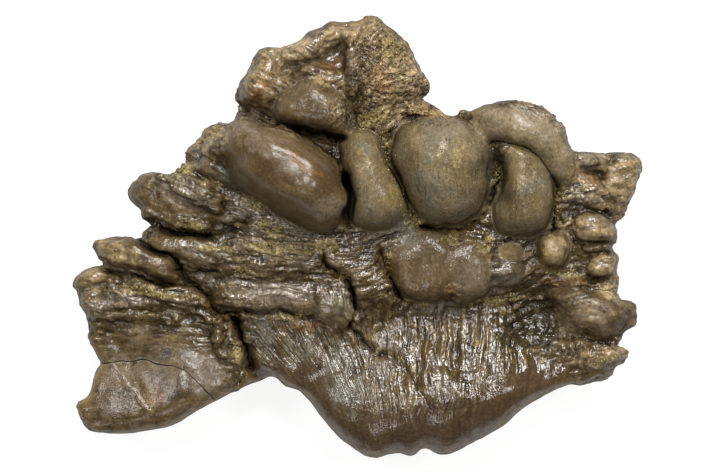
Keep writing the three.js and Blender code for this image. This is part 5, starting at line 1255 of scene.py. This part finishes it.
bone = Finish("fossil_bone")
place = bone.place()
along = {axis: bone.node("ShaderNodeSeparateXYZ", {}, {0: place}, output=axis) for axis in "XYZ"}
on_knob, on_apron, on_plate, on_rim = (bone.share(n) for n in ("knob", "apron", "plate", "rim"))
on_sponge, on_back, in_matrix = (bone.share(n) for n in ("sponge", "back", "matrix"))
painted_hollow_shade, painted_raised_light, is_smooth = (bone.share(n) for n in ("low", "high", "smooth_bone"))
is_glossy_knob, is_satin, on_satin_sheet, on_edge, on_broken_face = (
    bone.share(n) for n in ("glossy_knob", "satin", "satin_sheet", "edge", "broken_face")
)

# Patterns, from the broad patches down to the grain
patches = bone.noise(place, 17, 5, 0.6, warp=0.6)
mottle = bone.noise(place, 4.2, 6, 0.65)
speckle = bone.noise(place, 0.9, 4, 0.7)
grain = bone.noise(place, 0.5, 2, 0.5)
knots = bone.noise(place, 1.15, 1, 0.4)
streaks = bone.noise(place, 2.2, 4, 0.6, stretch=(0.16, 1, 1))
upright = bone.noise(place, 1.6, 4, 0.6, stretch=(1, 0.22, 0.4), warp=0.8)
down_flutes = bone.node("ShaderNodeCombineXYZ", {}, {
    0: bone.share("flute") * KEPT_SMALLER, 1: along["Y"] * 0.12,
})
flute_streaks = bone.noise(down_flutes, 1.3, 4, 0.6)
flute_fine = bone.noise(down_flutes, 0.9, 1, 0.4)
down_fibres = bone.node("ShaderNodeCombineXYZ", {}, {
    0: along["X"] * 0.22, 1: bone.share("fibre") * KEPT_SMALLER, 2: along["Z"] * 0.5,
})
layers = bone.noise(down_fibres, 1.2, 3, 0.6) * (1 - on_apron) + 0.5 * on_apron
ripples = bone.noise(down_fibres, 1.7, 1, 0.4, warp=0.3) * (1 - on_apron)
ripples = ripples + bone.noise(down_flutes, 1.8, 1, 0.4, warp=0.2) * on_apron
pores = bone.node("ShaderNodeTexVoronoi", {}, {"Vector": place, "Scale": 1 / PORE_SIZE})
crack_width = speckle.from_to(0.3, 0.7, 0.15, 0.45)
in_crack = (crack_width - bone.share("crack_side").maths("ABSOLUTE")).from_to(-0.12, 0.08)
in_crack = in_crack * bone.share("crack_near").from_to(1.6, 1.2)
hairs = bone.noise(place, 2.6, 2, 0.6, stretch=(1, 0.1, 0.25), warp=0.5) - 0.5
hairline = hairs.maths("ABSOLUTE").from_to(0.018, 0.004) * mottle.from_to(0.42, 0.6)

# Colour: the common bone, the knobs, and the patches and stains over both, with painted shade in hollows
# and cracks and painted light on raised places and knob tops among them
common_colour = bone.painted(
    bone.mix(UMBER, BROWN, mottle.from_to(0.34, 0.58)),
    (LIGHT_BROWN, patches.from_to(0.48, 0.7) * 0.4 + streaks.from_to(0.55, 0.75) * 0.3),
    (UMBER, layers.from_to(0.46, 0.37) * 0.7),
    (STONE_GREY, layers.from_to(0.57, 0.68) * 0.45),
    (MAUVE, bone.noise(place, 12, 4, 0.6, warp=0.8).from_to(0.5, 0.64) * 0.4),
    (OCHRE, bone.noise(place, 7, 4, 0.6, warp=0.8).from_to(0.54, 0.68) * 0.4),
)
knob_colour = bone.painted(
    bone.mix(STONE_GREY, OLIVE_GREY, patches.from_to(0.4, 0.62)),
    (LIGHT_BROWN, mottle.from_to(0.5, 0.72) * 0.6),
    (SLATE, bone.noise(place, 10, 4, 0.6, warp=0.6).from_to(0.5, 0.6) * 0.6),
    (UMBER, upright.from_to(0.46, 0.3) * 0.5),
    (TAN, upright.from_to(0.58, 0.72) * 0.55),
    (OCHRE, bone.noise(place, 8, 3, 0.6).from_to(0.52, 0.68) * 0.4),
    (PALE_TAN, bone.noise(place, 0.7, 2, 0.5).from_to(0.62, 0.72) * 0.5),
    (BROWN, is_glossy_knob * patches.from_to(0.35, 0.6, 0.75, 1.0)),
    (RUST, is_glossy_knob * mottle.from_to(0.56, 0.7) * 0.35),
    (BROWN, is_satin * mottle.from_to(0.35, 0.6, 1.0, 0.7)),
    (UMBER, is_satin * upright.from_to(0.55, 0.35) * 0.4),
    (MAUVE, is_satin * patches.from_to(0.5, 0.62) * 0.4),
    (UMBER, hairline * (1 - is_glossy_knob) * 0.6),
)
matrix_colour = bone.painted(
    bone.mix(OCHRE, PALE_OCHRE, speckle.from_to(0.5, 0.7)),
    (BROWN, mottle.from_to(0.52, 0.4) * 0.7),
)
colour = bone.painted(
    bone.mix(common_colour, knob_colour, on_knob),
    (STONE_GREY, on_apron * flute_streaks.from_to(0.5, 0.68) * 0.35),
    (UMBER, on_apron * flute_streaks.from_to(0.46, 0.32) * 0.3),
    # Wine-brown stains and rim, with painted shade on the left knob's right flank
    (WINE, bone.share("wine_brown").larger(on_rim) * 0.7),
    # Mauve-grey bone, and painted sheen on the knob tops
    (MAUVE, bone.share("lavender") * patches.from_to(0.3, 0.6, 0.3, 0.6)),
    (SLATE, bone.share("blue_grey") * mottle.from_to(0.35, 0.6, 0.2, 0.7)),
    # Dark greenish stain, and painted shade in the crevices
    (GREEN_BLACK, bone.share("green_dark") * 0.7),
    (TAN, bone.share("tan") * mottle.from_to(0.35, 0.62, 0.25, 0.9)),
    # Pale bone, and painted light on the right knobs
    (PALE_TAN, bone.share("pale") * mottle.from_to(0.2, 0.75, 0.1, 0.34)),
    (matrix_colour, in_matrix * mottle.from_to(0.34, 0.44) * 0.9),
    (RUST, bone.share("orange") * mottle.from_to(0.62, 0.45) * 0.5),
    # Painted shade darkens the hollows, less where matrix or sponge lies; painted light lightens the
    # raised places
    (UMBER, painted_hollow_shade * (0.65 - in_matrix * 0.4 - on_sponge * 0.45).held()),
    (LIGHT_BROWN, painted_raised_light * 0.3),
    # Pale speckle on the broken face: pale broken bone together with a painted highlight of that glossy
    # facet
    (PALE_TAN, on_broken_face * speckle.from_to(0.4, 0.6) * 0.6),
)
rugged = (1 - on_knob) * (1 - on_plate * 0.96) * (1 - on_rim * 0.9) * (1 - is_smooth * 0.4)
rugged = rugged * (1 - bone.share("ringed") * 0.8) * (1 - on_satin_sheet * 0.5)
# Painted shade in the low places of the fine relief and painted light on its high places, strongest on
# rugged bone, multiplied into the colour together with a speckle
relief_shade = ripples.from_to(0.34, 0.6, 0.6, 1.15) * knots.from_to(0.34, 0.6, 0.7, 1.1)
fine = speckle.from_to(0.3, 0.7, 0.7, 1.3) * (1 + (relief_shade - 1) * (0.25 + 0.75 * rugged))
grey_fine = bone.node("ShaderNodeCombineColor", {}, {0: fine, 1: fine, 2: fine})
colour = bone.painted(
    bone.mix(colour, grey_fine, 1.0, "MULTIPLY"),
    (TAN, on_edge * mottle.from_to(0.35, 0.6) * 0.3),
    # Painted shade: the dark cracks drawn in near black
    (CRACK_SHADE_BLACK, in_crack),
)

# Fine relief, in millimetres
relief = (
    grain * 0.07
    + knots * 0.02
    + knots * is_satin * 0.1
    + (ripples * 1.0 + knots * 0.45) * rugged * (1 - on_apron * 0.6)
    + flute_fine * on_apron * rugged * 0.4
    + pores.from_to(0.0, 0.5) * on_sponge * 0.8
    - in_crack * 0.5
)
bumped = bone.node("ShaderNodeBump", {}, {"Height": relief, "Distance": 0.001, "Strength": 1.0})

# Gloss: dull bone, and bone under consolidant where the coat lies thick and is seen from the front
wet = bone.noise(place, 3.2, 4, 0.6)
dry_knob = on_knob * (1 - is_glossy_knob) * (1 - is_satin * 0.2)
dry = (dry_knob * 0.8 + on_sponge * 0.6 + on_back * 0.6 + in_matrix * 0.5).held()
coat = ((1 - dry) * wet.from_to(0.38, 0.56, 0.3, 0.95) + 0.06).held() * (1 - in_crack)
coat = coat * (1 - is_glossy_knob * 0.6) * (1 - on_plate * 0.6) * (1 - on_satin_sheet * 0.6)
coat = coat.larger(on_apron * (1 - on_rim * 0.7) * wet.from_to(0.3, 0.5, 0.35, 0.8))
coat = (coat * (0.15 + 0.85 * bone.share("facing"))).larger(on_broken_face)
dull_roughness = mottle.from_to(0.3, 0.7, 0.45, 0.65) - is_glossy_knob * 0.2 - on_plate * 0.15
dull_bone = bone.node("ShaderNodeBsdfPrincipled", {}, {
    "Base Color": colour, "Roughness": dull_roughness, "IOR": 1.45, "Specular IOR Level": 0.2,
    "Normal": bumped,
})
lacquered_bone = bone.node("ShaderNodeBsdfPrincipled", {}, {
    "Base Color": colour, "Roughness": 0.08, "IOR": 1.6, "Normal": bumped,
})
shader = bone.node("ShaderNodeMixShader", {}, {0: coat, 1: dull_bone, 2: lacquered_bone})
bone.node("ShaderNodeOutputMaterial", {}, {"Surface": shader})
skull.data.materials.append(bone.material)
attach(skull, "root")
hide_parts("skull_section")


# Grains: coarse sand of the matrix.
# Angular quartz and feldspar grains, well under a millimetre across, stick where the ochre
# matrix is left in the hollows of the bone. Each lies half sunk, turned its own way.

GRAINS_PER_SQUARE_METRE = 1.1e6
GRAIN_SEED = 7
SMALLEST_GRAIN = 0.15e-3
LARGEST_GRAIN = 0.42e-3
MATRIX_STEEPNESS = 3


def wire(tree, node, **sockets):
    """Sets or links a node's inputs by name, with spaces as underscores."""
    for name, value in sockets.items():
        socket = node.inputs[name.replace("_", " ")]
        if isinstance(value, bpy.types.NodeSocket):
            tree.links.new(value, socket)
        else:
            socket.default_value = value
    return node


def scattered_grains(finish):
    """The node group: points on the skull section where its matrix share is high, a grain on each."""
    tree = bpy.data.node_groups.new("scattered grains", "GeometryNodeTree")
    for name, kind in (
        ("Skull section", "Object"), ("Grains per square metre", "Float"), ("Seed", "Int"),
        ("Smallest grain", "Float"), ("Largest grain", "Float"),
    ):
        tree.interface.new_socket(name, in_out="INPUT", socket_type="NodeSocket" + kind)
    tree.interface.new_socket("Grains", in_out="OUTPUT", socket_type="NodeSocketGeometry")
    given = tree.nodes.new("NodeGroupInput").outputs
    source = wire(tree, tree.nodes.new("GeometryNodeObjectInfo"), Object=given["Skull section"])
    share = wire(tree, tree.nodes.new("GeometryNodeInputNamedAttribute"), Name="matrix")
    share.data_type = "FLOAT"
    steep, density = tree.nodes.new("ShaderNodeMath"), tree.nodes.new("ShaderNodeMath")
    steep.operation, density.operation = "POWER", "MULTIPLY"
    tree.links.new(share.outputs["Attribute"], steep.inputs[0])
    steep.inputs[1].default_value = MATRIX_STEEPNESS
    tree.links.new(steep.outputs[0], density.inputs[0])
    tree.links.new(given["Grains per square metre"], density.inputs[1])
    points = tree.nodes.new("GeometryNodeDistributePointsOnFaces")
    wire(tree, points, Mesh=source.outputs["Geometry"], Density=density.outputs[0], Seed=given["Seed"])
    shape = wire(tree, tree.nodes.new("GeometryNodeMeshIcoSphere"), Radius=1.0, Subdivisions=1)
    size = tree.nodes.new("FunctionNodeRandomValue")
    size.data_type = "FLOAT"
    tree.links.new(given["Smallest grain"], size.inputs[2])
    tree.links.new(given["Largest grain"], size.inputs[3])
    turn = tree.nodes.new("FunctionNodeRandomValue")
    turn.data_type = "FLOAT_VECTOR"
    turn.inputs[1].default_value = (math.tau, math.tau, math.tau)
    placed = tree.nodes.new("GeometryNodeInstanceOnPoints")
    wire(tree, placed, Points=points.outputs["Points"], Instance=shape.outputs["Mesh"],
         Rotation=turn.outputs[0], Scale=size.outputs[1])
    real = tree.nodes.new("GeometryNodeRealizeInstances")
    wire(tree, real, Geometry=placed.outputs["Instances"])
    dressed = tree.nodes.new("GeometryNodeSetMaterial")
    wire(tree, dressed, Geometry=real.outputs["Geometry"], Material=finish)
    tree.links.new(dressed.outputs["Geometry"], tree.nodes.new("NodeGroupOutput").inputs["Grains"])
    return tree


sand = Finish("matrix_sand")
sand_place = sand.place()
sand_colour = sand.painted(
    OCHRE,
    (PALE_OCHRE, sand.noise(sand_place, 1.3, 2).from_to(0.42, 0.62)),
    (BROWN, sand.noise(sand_place, 1.0, 1).from_to(0.5, 0.36)),
)
sand.node("ShaderNodeOutputMaterial", {}, {"Surface": sand.node("ShaderNodeBsdfPrincipled", {}, {
    "Base Color": sand_colour, "Roughness": 0.5, "Coat Weight": 0.35, "Coat Roughness": 0.1,
})})

grains = bpy.data.objects.new("matrix_grains", bpy.data.meshes.new("matrix_grains"))
bpy.context.collection.objects.link(grains)
scatter = grains.modifiers.new("Scatter", "NODES")
scatter.node_group = scattered_grains(sand.material)
inputs = {
    "Skull section": skull, "Grains per square metre": GRAINS_PER_SQUARE_METRE, "Seed": GRAIN_SEED,
    "Smallest grain": SMALLEST_GRAIN, "Largest grain": LARGEST_GRAIN,
}
for item in scatter.node_group.interface.items_tree:
    if item.in_out == "INPUT":
        scatter[item.identifier] = inputs[item.name]
grains_mesh = bpy.data.meshes.new_from_object(grains.evaluated_get(bpy.context.evaluated_depsgraph_get()))
grains.modifiers.clear()
grains.data = grains_mesh
grains_mesh.name = "matrix_grains"
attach(grains, "root")


# Floor, light and camera.
# The fossil lies on its back on a white table that is lit from within, under softboxes around the
# camera and one low beyond its top, and the camera looks straight down on it.

PICTURE = (708, 472)
MM_PER_PIXEL = 1 / 3
CAMERA_HEIGHT = 1.9
SENSOR = 36
PICTURE_MIDDLE = (-1.2, 0.2)
SHARP_HEIGHT = 0.55
FLOOR_HALF = 3.0
TABLE_GLOW = 0.87
ROOM_LIGHT = 0.16

# Where each softbox stands, what it is turned to, its size and its power
SOFTBOXES = {
    "softbox_overhead": ((0.05, 0.5, 1.25), (0, 0, 0.03), (0.34, 0.22), 8),
    "softbox_behind": ((0.2, 0.95, 0.85), (0, 0, 0.03), (0.5, 0.34), 15),
    "softbox_left": ((-0.6, 0.3, 1.1), (0, 0, 0), (0.3, 0.25), 4),
    "softbox_right": ((0.65, 0.15, 1.1), (0, 0, 0), (0.3, 0.25), 4.4),
    "softbox_front": ((-0.3, -0.7, 1.15), (0, 0, 0), (0.35, 0.25), 2.2),
}

floor_mesh = bpy.data.meshes.new("floor")
corners = [(-1, -1), (1, -1), (1, 1), (-1, 1)]
floor_mesh.from_pydata([(u * FLOOR_HALF, v * FLOOR_HALF, 0) for u, v in corners], [], [(0, 1, 2, 3)])
floor = bpy.data.objects.new("floor", floor_mesh)
bpy.context.collection.objects.link(floor)
paper = Finish("white_paper")
paper.node("ShaderNodeOutputMaterial", {}, {
    "Surface": paper.node("ShaderNodeBsdfPrincipled", {}, {
        "Base Color": (0.25, 0.25, 0.25), "Roughness": 0.9,
        "Emission Color": (1, 1, 1), "Emission Strength": TABLE_GLOW,
    }),
})
floor_mesh.materials.append(paper.material)

for name, (stand, aim, size, power) in SOFTBOXES.items():
    data = bpy.data.lights.new(name, "AREA")
    data.shape = "RECTANGLE"
    data.size, data.size_y = size
    data.energy = power
    light = bpy.data.objects.new(name, data)
    light.location = stand
    light.rotation_euler = (Vector(aim) - Vector(stand)).to_track_quat("-Z", "Y").to_euler()
    bpy.context.collection.objects.link(light)

world = bpy.data.worlds.new("studio")
world.use_nodes = True
background = world.node_tree.nodes["Background"]
background.inputs["Color"].default_value = (1, 1, 1, 1)
background.inputs["Strength"].default_value = ROOM_LIGHT
scene = bpy.context.scene
scene.world = world
scene.view_settings.view_transform = "Standard"

camera_data = bpy.data.cameras.new("camera")
camera = bpy.data.objects.new("camera", camera_data)
subject_height = (cad_box[1].z - cad_box[0].z) * SHARP_HEIGHT
picture_width = PICTURE[0] * MM_PER_PIXEL / 1000
camera_data.sensor_width = SENSOR
camera_data.lens = SENSOR * (CAMERA_HEIGHT - subject_height) / picture_width
camera.location = (PICTURE_MIDDLE[0] / 1000, PICTURE_MIDDLE[1] / 1000, CAMERA_HEIGHT)
bpy.context.collection.objects.link(camera)
scene.camera = camera
